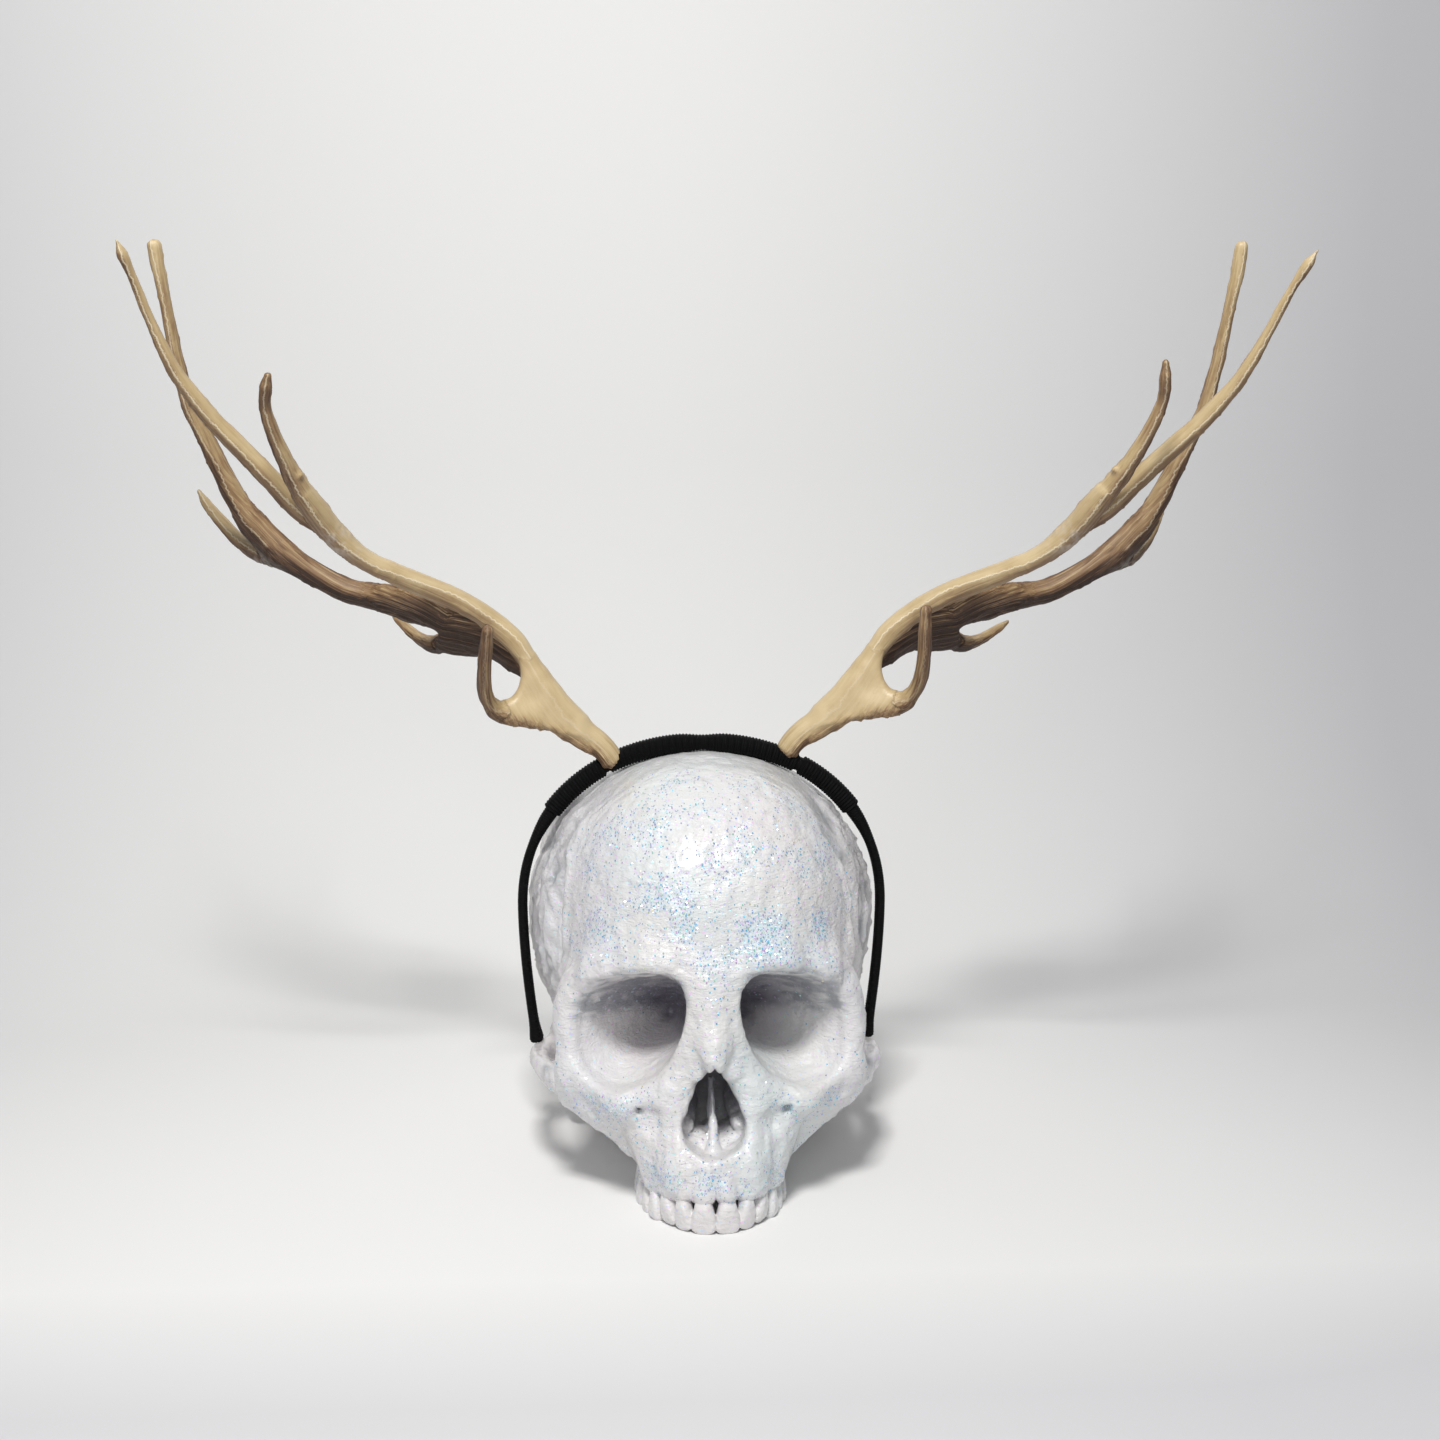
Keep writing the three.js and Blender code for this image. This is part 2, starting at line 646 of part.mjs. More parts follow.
function teeth() {
  const made = [];
  let angle = 0;
  const stepFor = (from, wide) => {
    const [x0, f0] = archPoint(from);
    let to = from;
    while (Math.hypot(archPoint(to)[0] - x0, archPoint(to)[1] - f0) < wide) to += 0.004;
    return to;
  };
  TEETH.forEach(({ wide, deep }, i) => {
    const end = stepFor(angle, wide);
    const [x, f] = archPoint((angle + end) / 2);
    const [x0, f0] = archPoint(angle);
    const [x1, f1] = archPoint(end);
    const chord = new THREE.Vector3(x1 - x0, f1 - f0, 0).normalize();
    angle = end;
    const edge = TOOTH_EDGE_H + (i > 4 ? 2.2 : 0.8 * Math.min(i, 2));
    for (const side of [1, -1]) {
      const tooth = skullLoft(
        [
          [side * x, f - 1, -36, wide * 0.62, deep * 0.7],
          [side * x, f, -43, wide * 0.9, deep * 0.95],
          [side * x, f + 0.4, -49, wide * 1.02, deep * (i < 3 ? 0.6 : 0.95)],
          [side * x, f + 0.4, edge + 1.6, wide * 0.9, deep * (i < 3 ? 0.32 : 0.8)],
        ],
        [side * chord.x, chord.y, 0],
        { sides: 7, steps: 1 },
      );
      made.push(tooth);
    }
  });
  return made.reduce((a, b) => a.add(b));
}

function cheekArch(side, grow = 0) {
  const path = [
    [52, 56, -7, 13, 7],
    [60, 46, -5, 9.5, 5.4],
    [65, 32, -3, 8, 4.6],
    [66.5, 17, -1, 7.5, 4.6],
    [64, 4, 1.5, 8, 6],
    [57, -5, 3, 9, 8],
  ].map(([x, f, h, wide, thick]) => [side * x, f, h, wide, thick]);
  return skullLoft(path, [0, 0, 1], { sides: 10, steps: 2, grow });
}

function halfSpace(normalForward, offset) {
  const size = 400;
  const slab = new THREE.BoxGeometry(size, size, size);
  slab.translate(0, offset + (normalForward * size) / 2, 0);
  return skullSolid(slab);
}

function skull(band) {
  const group = new THREE.Group();
  const underFloor = solid(new THREE.BoxGeometry(500, 500, 100).translate(0, 0, -50));
  const arches = [1, -1].map((side) => ({ side, body: cheekArch(side), room: cheekArch(side, GAP) }));
  const clearOfArches = (body) => arches.reduce((b, arch) => b.subtract(arch.room), body);

  const opened = (body) => clearOfArches(body.subtract(underFloor));
  const braincase = opened(skullSolid(shell([0, -12, 48], 8)))
    .subtract(halfSpace(1, SEAM_FORWARD - GAP / 2))
    .subtract(band);
  const frontOnly = (p) => Math.max(bone(p), SEAM_FORWARD - 6 - p[1]);
  const faceSkin = skin(frontOnly, [-66, SEAM_FORWARD - 6 - 2 * FACE_CELL, -54], [66, 112, 118], FACE_CELL);
  const face = opened(skullSolid(faceSkin))
    .subtract(halfSpace(-1, SEAM_FORWARD + GAP / 2))
    .add(septum())
    .add(teeth())
    .subtract(underFloor);
  group.add(meshOf(braincase, "skull_braincase", MATERIALS.skull));
  group.add(meshOf(face, "skull_face", MATERIALS.skull));
  for (const { side, body } of arches)
    group.add(meshOf(body.subtract(band), `skull_cheek_arch_${side < 0 ? "left" : "right"}`, MATERIALS.skull));
  return group;
}

// The whole display

const display = new THREE.Group();
const roots = ["left", "right"].map(antlerRoot);
display.add(antler("left"), antler("right"));
display.add(headband(roots));
display.add(skull(bandLength(-1, 1, { thick: WRAP_THICK, deep: WRAP_DEEP, ends: 2.4, count: 36, grow: GAP })));

// The middle of the whole outline goes on the origin, and its lowest point on z = 0.
const box = new THREE.Box3().setFromObject(display, true);
display.position.set(-(box.min.x + box.max.x) / 2, -(box.min.y + box.max.y) / 2, -box.min.z);
export default display;
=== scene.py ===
import math

import bpy
import numpy as np
from mathutils import Matrix, Vector


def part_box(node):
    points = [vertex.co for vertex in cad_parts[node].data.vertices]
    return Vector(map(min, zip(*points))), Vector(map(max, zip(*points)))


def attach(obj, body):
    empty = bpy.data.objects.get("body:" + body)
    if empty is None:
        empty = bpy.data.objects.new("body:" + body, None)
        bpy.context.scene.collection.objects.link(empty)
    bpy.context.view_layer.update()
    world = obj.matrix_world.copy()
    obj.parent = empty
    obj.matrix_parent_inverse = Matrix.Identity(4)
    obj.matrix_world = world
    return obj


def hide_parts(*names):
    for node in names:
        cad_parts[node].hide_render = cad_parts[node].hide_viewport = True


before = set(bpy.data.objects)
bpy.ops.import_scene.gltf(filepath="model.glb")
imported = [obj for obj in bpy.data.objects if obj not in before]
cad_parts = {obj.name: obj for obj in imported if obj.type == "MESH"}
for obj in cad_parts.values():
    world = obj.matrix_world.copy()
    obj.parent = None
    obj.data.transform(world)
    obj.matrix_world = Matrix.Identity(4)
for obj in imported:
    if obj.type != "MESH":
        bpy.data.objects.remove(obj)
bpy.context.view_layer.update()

MM = 0.001

# The headband's hoop stands on the part's own middle plane, so its box says where the display was centred.
hoop_low, hoop_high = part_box("headband_hoop")
DISPLAY_SHIFT = np.array([(hoop_low.x + hoop_high.x) / 2, (hoop_low.y + hoop_high.y) / 2, 0.0]) / MM

# Sizes that the solids share, apart from a few of the right antler's bends, which are closer here
SKULL_TILT_DEG = 8
FLOOR_DROP = 39.6
TOOTH_EDGE_H = -53.5
BAND = {
    "half_width": 72.5, "rise": 66, "widest_z": 95, "end_z": 38, "end_half_width": 67.4,
    "thick": 3.8, "deep": 7, "squareness": 2.12,
}
WRAP = {"thick": 7.6, "deep": 10}
ANTLER_ROOT = np.array([37, -2.5, 154.0])
ANTLER_TURN_DEG = {"left": (0, 0, 0), "right": (-0.7, -1.7, 2.3)}
ANTLER_SHIFT = {"left": (0, 0, 0), "right": (-1.8, 0, 3.7)}
TIP_BEND = {
    "left": {},
    "right": {
        "long_tine": (8, 0, 1), "rear_tine": (-2, 0, 5.5), "inner_tine": (6, 0, 5),
        "brow_tine": (1.7, 0, 4), "spur": (3.8, 0, -4.3), "back_tine": (-10, -3, 3),
    },
}
TIP_BEND_POWER = 1.6
MIDDLE_BEND = {"left": {}, "right": {"inner_tine": (2.4, 0, 0)}}


# Meshes

def make_mesh(name, points, faces, material, numbers):
    """A piece with its place in its mesh, from points in millimetres and numbers for each point."""
    mesh = bpy.data.meshes.new(name)
    placed = (np.asarray(points, float) + DISPLAY_SHIFT) * MM
    faces = np.asarray(faces, np.int32)
    mesh.vertices.add(len(placed))
    mesh.vertices.foreach_set("co", placed.astype(np.float32).ravel())
    sides = faces.shape[1]
    mesh.loops.add(faces.size)
    mesh.loops.foreach_set("vertex_index", faces.ravel())
    mesh.polygons.add(len(faces))
    mesh.polygons.foreach_set("loop_start", np.arange(0, faces.size, sides, dtype=np.int32))
    mesh.update(calc_edges=True)
    mesh.polygons.foreach_set("use_smooth", np.full(len(faces), True))
    for key, values in numbers.items():
        values = np.asarray(values, np.float32)
        if values.ndim == 2:
            mesh.attributes.new(key, "FLOAT_VECTOR", "POINT").data.foreach_set("vector", values.ravel())
        else:
            mesh.attributes.new(key, "FLOAT", "POINT").data.foreach_set("value", values)
    mesh.materials.append(material)
    mesh.validate()
    return show(name, mesh)


def show(name, data):
    thing = bpy.data.objects.new(name, data)
    bpy.context.scene.collection.objects.link(thing)
    return thing


def skin(value, axes):
    """The zero surface of a field on a grid: a point in each cell that it crosses, a square on each edge."""
    inside = value < 0
    crossed = np.zeros([n - 1 for n in value.shape], bool)
    corners = [(a, b, c) for a in (0, 1) for b in (0, 1) for c in (0, 1)]
    part = lambda grid, c: grid[tuple(slice(k, n - 1 + k) for k, n in zip(c, grid.shape))]
    first = part(inside, (0, 0, 0))
    for c in corners[1:]:
        crossed |= part(inside, c) != first
    cells = np.argwhere(crossed)
    label = np.full(crossed.shape, -1, np.int32)
    label[crossed] = np.arange(len(cells))
    total = np.zeros((len(cells), 3))
    count = np.zeros(len(cells))
    for a in corners:
        for axis in range(3):
            if a[axis]:
                continue
            b = tuple(v + (k == axis) for k, v in enumerate(a))
            ia, ib = cells + a, cells + b
            va, vb = value[tuple(ia.T)], value[tuple(ib.T)]
            cut = (va < 0) != (vb < 0)
            share = (va[cut] / (va[cut] - vb[cut]))[:, None]
            pa = np.column_stack([axes[k][ia[cut, k]] for k in range(3)])
            pb = np.column_stack([axes[k][ib[cut, k]] for k in range(3)])
            total[cut] += pa + share * (pb - pa)
            count[cut] += 1
    points = total / count[:, None]
    faces = []
    for axis in range(3):
        u, v = (axis + 1) % 3, (axis + 2) % 3
        near = [slice(1, n - 1) for n in value.shape]
        near[axis] = slice(0, value.shape[axis] - 1)
        far = list(near)
        far[axis] = slice(1, value.shape[axis])
        starts = inside[tuple(near)]
        edges = np.argwhere(starts != inside[tuple(far)])
        outward = starts[tuple(edges.T)]
        base = edges + [s.start for s in near]
        ring = []
        for du, dv in ((0, 0), (-1, 0), (-1, -1), (0, -1)):
            cell = base.copy()
            cell[:, u] += du
            cell[:, v] += dv
            ring.append(label[tuple(cell.T)])
        ring = np.column_stack(ring)
        ring[~outward] = ring[~outward][:, ::-1]
        faces.append(ring)
    faces = np.concatenate(faces)
    return points, faces[(faces >= 0).all(1)]


def relax(points, faces, rounds, keep=0.5):
    """Evens out the grid's steps: each point goes part of the way to the middle of its neighbours."""
    pairs = np.concatenate([faces[:, [k, (k + 1) % 4]] for k in range(4)])
    for _ in range(rounds):
        total = np.zeros_like(points)
        count = np.zeros(len(points))
        for a, b in ((0, 1), (1, 0)):
            for k in range(3):
                total[:, k] += np.bincount(pairs[:, a], points[pairs[:, b], k], len(points))
            count += np.bincount(pairs[:, a], minlength=len(points))
        points = points * keep + (1 - keep) * total / count[:, None]
    return points


def normals(points, faces):
    diagonal_a = points[faces[:, 2]] - points[faces[:, 0]]
    diagonal_b = points[faces[:, 3]] - points[faces[:, 1]]
    facing = np.cross(diagonal_a, diagonal_b)
    out = np.zeros_like(points)
    for corner in range(4):
        for k in range(3):
            out[:, k] += np.bincount(faces[:, corner], facing[:, k], len(points))
    return out / np.maximum(np.linalg.norm(out, axis=1, keepdims=True), 1e-9)


def keep_largest(points, faces):
    """Drops loose crumbs: only the biggest connected surface stays."""
    root = np.arange(len(points))
    while True:
        low = root[faces].min(1)
        new = root.copy()
        for corner in range(4):
            np.minimum.at(new, faces[:, corner], low)
        new = new[new]
        if (new == root).all():
            break
        root = new
    names, sizes = np.unique(root, return_counts=True)
    kept = root == names[sizes.argmax()]
    renumber = np.cumsum(kept) - 1
    return points[kept], renumber[faces[kept[faces].all(1)]]


# Noise on two or three coordinates, the same at each run

AXIS_PRIMES = (374761393, 668265263, 2246822519)
MIX_PRIME = np.uint32(2654435761)


def hashed(cells, seed):
    """A steady random number from 0 to 1 for each whole-numbered place."""
    mixed = np.full(cells.shape[:-1], seed * 7919 + 17, np.uint32)
    for k, prime in zip(range(cells.shape[-1]), AXIS_PRIMES):
        whole = cells[..., k].astype(np.int64).astype(np.uint32)
        mixed = (mixed ^ (whole * np.uint32(prime))) * MIX_PRIME
        mixed ^= mixed >> np.uint32(15)
    return mixed.astype(np.float64) / 2**32


def noise(places, seed=0):
    """Smooth noise from 0 to 1."""
    places = np.asarray(places, float)
    floor = np.floor(places)
    part = places - floor
    ease = part * part * (3 - 2 * part)
    dims = places.shape[-1]
    out = np.zeros(places.shape[:-1])
    for corner in range(2**dims):
        bits = np.array([(corner >> k) & 1 for k in range(dims)])
        weight = np.prod(np.where(bits, ease, 1 - ease), axis=-1)
        out += weight * hashed(floor + bits, seed)
    return out


def layered(places, seed=0, layers=3):
    """Noise with finer noise on top."""
    places = np.asarray(places, float)
    total = sum(noise(places * 2**k + 9.7 * k, seed + k) / 2**k for k in range(layers))
    return total / (2 - 2 ** (1 - layers))


def ridged(places, seed=0, layers=2):
    """Layered noise folded at its middle, so that it peaks along thin lines."""
    total = 0
    for k in range(layers):
        total = total + (1 - np.abs(2 * noise(places * 2**k + 4.3 * k, seed + k) - 1)) / 2**k
    return total / (2 - 2 ** (1 - layers))


def smoothstep(low, high, value):
    t = np.clip((value - low) / (high - low), 0, 1)
    return t * t * (3 - 2 * t)


def hump(value, middle, reach):
    """1 at the middle, and near 0 from twice the reach on."""
    return np.exp(-(((value - middle) / reach) ** 2))


def blend(a, b, reach):
    """The union of two forms, with a fillet that reaches as far as that."""
    h = np.maximum(reach - np.abs(a - b), 0) / reach
    return np.minimum(a, b) - h * h * reach / 4


# Antlers. Each path is [outward, forward, up, wide, thick] from the antler's root, as in the solids.
# melt is how softly a branch joins what it grows from. sides are the ways that its wide axis faces.
# paint is how brown its start and its tip are, partly brown wash and partly painted shade on the branches
# that lie in shade. grain is how ribbed it is.
# crest is the way that its pale line of painted highlight faces, at its start and at its end.
IN_PICTURE = (-0.7, 0, 0.7)
TILTED = (0, 0.78, 0.62)
LEVEL = (0, 1, 0)
BRANCHES = {
    "base": {
        "melt": 1, "paint": (0, 0.05), "grain": 0.3, "crest": [(0.2, -0.9, -0.1), (0.1, -0.9, 0.1)],
        "sides": [IN_PICTURE],
        "path": [
            (-1.1, -0.6, 0.4, 9.4, 8.2), (1.5, 0, 4.2, 9.8, 8.6), (5.6, 0.8, 8.4, 10.2, 8.4),
            (11.5, 1.6, 12.8, 10.8, 8), (17, 2.6, 17.5, 12, 7.4), (23, 3.4, 25, 12, 7), (28, 3.6, 34, 8, 7),
        ],
    },
    "brow_tine": {
        "melt": 5, "paint": (0.1, 0.75), "grain": 0.62, "crest": [(0.1, -0.9, 0.1), (-0.2, -0.9, 0.1)],
        "sides": [IN_PICTURE],
        "path": [
            (30, 5.8, 20, 6, 5.6), (38, 7, 20.6, 7.4, 6.4), (44, 10, 22.6, 6.6, 6.2), (47, 15, 28, 6.1, 6),
            (47.2, 23, 37.5, 5.8, 5.6), (46, 28, 47.5, 5.2, 5.2), (45, 31, 55.5, 4.4, 4.4),
        ],
    },
    "palm": {
        "melt": 1.5, "paint": (0.8, 1), "grain": 1, "crest": [(0, -0.9, -0.3), (0, -0.9, 0.1)],
        "sides": [
            IN_PICTURE, (-0.15, 0.45, 0.87), (0, 0.57, 0.82), (0.04, 0.61, 0.79), (0.02, 0.63, 0.77),
            (0.15, 0.66, 0.73),
        ],
        "path": [
            (32, 1, 37, 8, 6), (40, -2.5, 43.5, 14, 6), (48, -5.4, 48.8, 19, 6), (56.5, -8.2, 51.2, 25.5, 6),
            (65.7, -11.8, 53, 30, 6.4), (74.5, -11.4, 59, 25, 7), (86, -15, 63.4, 17.5, 8.2),
            (95, -18, 65.4, 12, 9),
        ],
    },
    "front_beam": {
        "melt": 0.8, "paint": (0, 0.12), "grain": 0.2, "crest": [(-0.05, -0.9, 0.35), (0.1, -0.92, -0.12)],
        "sides": [LEVEL],
        "path": [
            (27, 3.4, 33, 7, 7), (31.8, 3.4, 41.5, 8.2, 7.8), (37, 3, 49, 8.8, 8.8), (45, 2.8, 56, 9, 9),
            (56, 5, 63.6, 9.6, 8.8), (69, 9, 70, 9.8, 8.8), (80.5, 14, 75.2, 9.4, 8.6),
            (91.5, 20, 81.3, 9, 8.2), (100, 27, 89.6, 9, 9.2), (106, 35, 99.5, 9, 9.8),
            (110, 41, 106.5, 8.4, 9),
        ],
    },
    "inner_tine": {
        "melt": 0.6, "paint": (0.12, 0.7), "grain": 0.35, "crest": [(0.1, -0.92, -0.12), (0.12, -0.92, -0.1)],
        "sides": [LEVEL],
        "path": [
            (107.5, 37.2, 102, 8.2, 9), (111.6, 44, 110.5, 7.8, 8.2), (114.4, 50, 118.6, 6.4, 6.5),
            (117.4, 56.5, 129, 5.2, 5.3), (118.6, 61, 137, 4.3, 4.3), (117.4, 64.5, 142.5, 4.5, 4.5),
            (115.9, 67.4, 147.2, 2.7, 2.7),
        ],
    },
    "long_tine": {
        "melt": 2, "paint": (0.25, 0.1), "grain": 0.25, "crest": [(0.1, -0.92, -0.2), (0.02, -0.95, -0.12)],
        "sides": [LEVEL],
        "path": [
            (99, 26, 89, 6.6, 7), (105, 28, 94, 7.2, 7.8), (114, 30, 101, 7.4, 8), (125, 36, 114.5, 7.4, 8),
            (133, 41, 124, 7.2, 7.7), (142, 47, 135, 6.3, 6.7), (151.5, 56, 151.5, 5, 5.2),
            (157.3, 63.5, 169, 3.8, 3.8), (160, 68.5, 179.5, 3.1, 3.1), (162, 72, 186.5, 3.9, 3.9),
            (163.3, 74.5, 191.5, 1, 1),
        ],
    },
    "rear_beam": {
        "melt": 1.4, "paint": (0.95, 0.95), "grain": 0.9, "crest": [(0, -0.9, 0.1), (0.15, -0.9, -0.05)],
        "sides": [(0.1, 0.72, 0.68), TILTED, TILTED, (0, 0.6, 0.75), (-0.4, 0.4, 0.82)],
        "path": [
            (80, -16.4, 60.4, 12, 7), (92, -18, 64, 12.4, 9), (105, -19, 67.7, 11.2, 9.6),
            (118, -19, 74.2, 11.2, 9.6), (130, -18, 82.3, 13.2, 9), (134, -17.4, 86.4, 12, 8.4),
        ],
    },
    "rear_tine": {
        "melt": 1, "paint": (0.85, 0), "grain": 0.5, "crest": [(0.15, -0.9, -0.05), (0.12, -0.95, 0)],
        "sides": [(-0.4, 0.4, 0.82), (-0.84, 0.3, 0.5), (-0.6, 0.7, 0.2), LEVEL],
        "path": [
            (130, -18, 82.3, 12.6, 8.4), (139.5, -16.2, 93, 12.6, 8.8), (146, -13, 105, 9, 8.8),
            (150.5, -9, 116, 7.4, 7.8), (155, -5, 128, 6.4, 6.8), (159.5, -1, 140, 5.6, 6),
            (162.5, 4, 159, 5.4, 5.4), (164, 9.5, 176, 4.4, 4.6), (165.2, 13.5, 190, 4.8, 4.8),
            (165.8, 15, 197, 4.9, 4.9),
        ],
    },
    "back_tine": {
        "melt": 2.5, "paint": (0.6, 0.2), "grain": 0.4, "crest": [(0.1, -0.9, 0.2), (0.1, -0.9, 0.3)],
        "sides": [LEVEL],
        "path": [
            (130, -19, 81, 9, 8), (139, -25, 81.5, 8, 7.4), (148.5, -33, 86, 6.6, 6.2),
            (156.5, -39, 93, 6, 5.6), (164, -45, 100.5, 4.8, 4.4), (168.5, -49, 106.5, 1.8, 1.8),
        ],
    },
    "spur": {
        "melt": 1.4, "paint": (0.75, 0.1), "grain": 0.8, "crest": [(0, -0.9, 0.3), (0, -0.9, 0.4)],
        "sides": [LEVEL],
        "path": [
            (60, -18.5, 46, 9, 8), (67, -24, 45.6, 9, 8.4), (71.4, -28, 44.6, 8, 7.4),
            (76.4, -33, 45.7, 6.4, 5.8), (81.4, -38, 48.5, 5.4, 4.8), (86.8, -43, 52.7, 4.6, 4.2),
            (91, -48, 56.8, 2, 2),
        ],
    },
}
# The flat web at the fork: its outline as (outward, up), its thickness, the edge's rounding, and how the
# middle of the plate lies forward, further so outward and less so upward.
WEB = {
    "outline": [
        (9, 18), (17.3, 26.6), (22.3, 34.2), (28.8, 44.2), (35.4, 43), (34.6, 38), (34.3, 34.4), (35.6, 30.4),
        (38.2, 26.6), (41.2, 24.5), (44, 24.6), (46, 21), (42, 18), (34.5, 16.8), (28.5, 14.8), (23.3, 12.4),
        (19.5, 11.4), (14.5, 8.8), (9, 5.4),
    ],
    "thick": 7.2, "rim": 3.1, "forward": 1, "lean_outward": 0.2, "lean_up": -0.08,
    "box": [(2, -16, -2), (54, 8, 52)], "melt": 4,
}
# The lower rim of the foot and of the web, from the hook to the headband, as (outward, up)
LOWER_RIM = [(44, 18.4)] + WEB["outline"][12:] + [(2, -2)]
# The gap between the spur and the rear beam, as (outward, up) at one depth. Deeper, it lies out and down.
GAP = {
    "outline": [
        (92, 57.2), (84.6, 55.8), (80.2, 54.4), (74.3, 52.7), (70, 51.3), (68.6, 49.8), (70, 43), (92, 43),
    ],
    "depth": -19, "outward": 0.114, "down": 0.086, "box": [(66, 6, 41), (94, 30, 60)], "melt": 0.8,
}
WART = {"place": (109.9, -47.6, 113), "radius": 1.6, "melt": 0.8, "follows_inner_tine": 0.3}
SCARS = [{"place": (136, 22, 78.5), "reach": 5.5}, {"place": (99, -31, 88), "reach": 6}]
# The upper side of each branch, towards the middle, which stays smooth and pale; the other side of the crest
# gets painted shade
SMOOTH_SIDE = np.array([-0.7, 0, 0.7])
ANTLER_CELL = 0.68
STEPS_PER_SPAN = 5
# The field's value where no branch is near
FAR_OUT = 6.0


def curve_points(places, steps):
    """A centripetal curve through places, with its direction, at steps points a span."""
    places = np.asarray(places, float)
    ends = np.vstack([2 * places[0] - places[1], places, 2 * places[-1] - places[-2]])
    spans = len(places) - 1
    out, along = [], []
    for i in range(spans * steps + 1):
        k = min(spans - 1, i // steps)
        t = i / steps - k
        p0, p1, p2, p3 = ends[k : k + 4]
        d0, d1, d2 = (np.linalg.norm(b - a) ** 0.5 for a, b in ((p0, p1), (p1, p2), (p2, p3)))
        m1 = ((p1 - p0) / d0 - (p2 - p0) / (d0 + d1) + (p2 - p1) / d1) * d1
        m2 = ((p2 - p1) / d1 - (p3 - p1) / (d1 + d2) + (p3 - p2) / d2) * d1
        c2, c3 = -3 * p1 + 3 * p2 - 2 * m1 - m2, 2 * p1 - 2 * p2 + m1 + m2
        out.append(p1 + m1 * t + c2 * t**2 + c3 * t**3)
        slope = m1 + 2 * c2 * t + 3 * c3 * t**2
        along.append(slope / np.linalg.norm(slope))
    return np.array(out), np.array(along)


def branch_rings(name, side):
    """The branch as closely spaced ovals: middles, axes, half widths and thicknesses, and lengths so far."""
    path = np.array(BRANCHES[name]["path"], float)
    sides = BRANCHES[name]["sides"]
    share = np.linspace(0, 1, len(path))[:, None]
    path[:, :3] += share**TIP_BEND_POWER * np.array(TIP_BEND[side].get(name, (0, 0, 0)))
    path[:, :3] += np.sin(np.pi * share) * np.array(MIDDLE_BEND[side].get(name, (0, 0, 0)))
    places = path[:, :3] * [1, -1, 1]
    middle, along = curve_points(places, STEPS_PER_SPAN)
    spans = len(path) - 1
    wide_axis, half = [], []
    for i in range(len(middle)):
        k = min(spans - 1, i // STEPS_PER_SPAN)
        t = i / STEPS_PER_SPAN - k
        ease = t * t * (3 - 2 * t)
        a, b = (np.array(sides[min(n, len(sides) - 1)], float) * [1, -1, 1] for n in (k, k + 1))
        axis = a * (1 - t) + b * t
        axis -= along[i] * (axis @ along[i])
        wide_axis.append(axis / np.linalg.norm(axis))
        half.append((path[k, 3:] * (1 - ease) + path[k + 1, 3:] * ease) / 2)
    wide_axis, half = np.array(wide_axis), np.array(half)
    run = np.concatenate([[0], np.cumsum(np.linalg.norm(np.diff(middle, axis=0), axis=1))])
    thin_axis = np.cross(along, wide_axis)
    return {"middle": middle, "wide_axis": wide_axis, "thin_axis": thin_axis, "half": half, "run": run}


def oval_distance(points, rings, i):
    """Roughly how far points are from the branch between two of its rings, and where they are on it."""
    a, b = rings["middle"][i], rings["middle"][i + 1]
    step = b - a
    raw = (points - a) @ step / (step @ step)
    t = np.clip(raw, 0, 1)
    mix = lambda key: rings[key][i] * (1 - t[:, None]) + rings[key][i + 1] * t[:, None]
    off = points - (a + t[:, None] * step)
    wide, thin = (off * mix("wide_axis")).sum(1), (off * mix("thin_axis")).sum(1)
    past = (raw - t) * np.linalg.norm(step)
    half = mix("half")
    dome = 0.9 * half.mean(1) * (0.35 if rings["blunt"] and i == 0 else 1)
    u, v, w = wide / half[:, 0], thin / half[:, 1], past / dome
    size = np.sqrt(u * u + v * v + w * w)
    slope = np.sqrt((u / half[:, 0]) ** 2 + (v / half[:, 1]) ** 2 + (w / dome) ** 2)
    distance = np.where(size < 1e-6, -half[:, 1], size * (size - 1) / np.maximum(slope, 1e-6))
    place = {
        "run": rings["run"][i] + t * np.linalg.norm(step), "wide": wide, "thin": thin,
        "half_wide": half[:, 0], "half_thin": half[:, 1],
    }
    return distance, place


def antler_branches(side):
    """The rings of every branch, with lengths that carry on from the branch it grows from."""
    branches = {}
    for name in BRANCHES:
        rings = branch_rings(name, side)
        rings["blunt"] = name == "base"
        if branches:
            middles = np.concatenate([b["middle"] for b in branches.values()])
            runs = np.concatenate([b["run"] for b in branches.values()])
            rings["run"] = rings["run"] + runs[np.linalg.norm(middles - rings["middle"][0], axis=1).argmin()]
        branches[name] = rings
    return branches


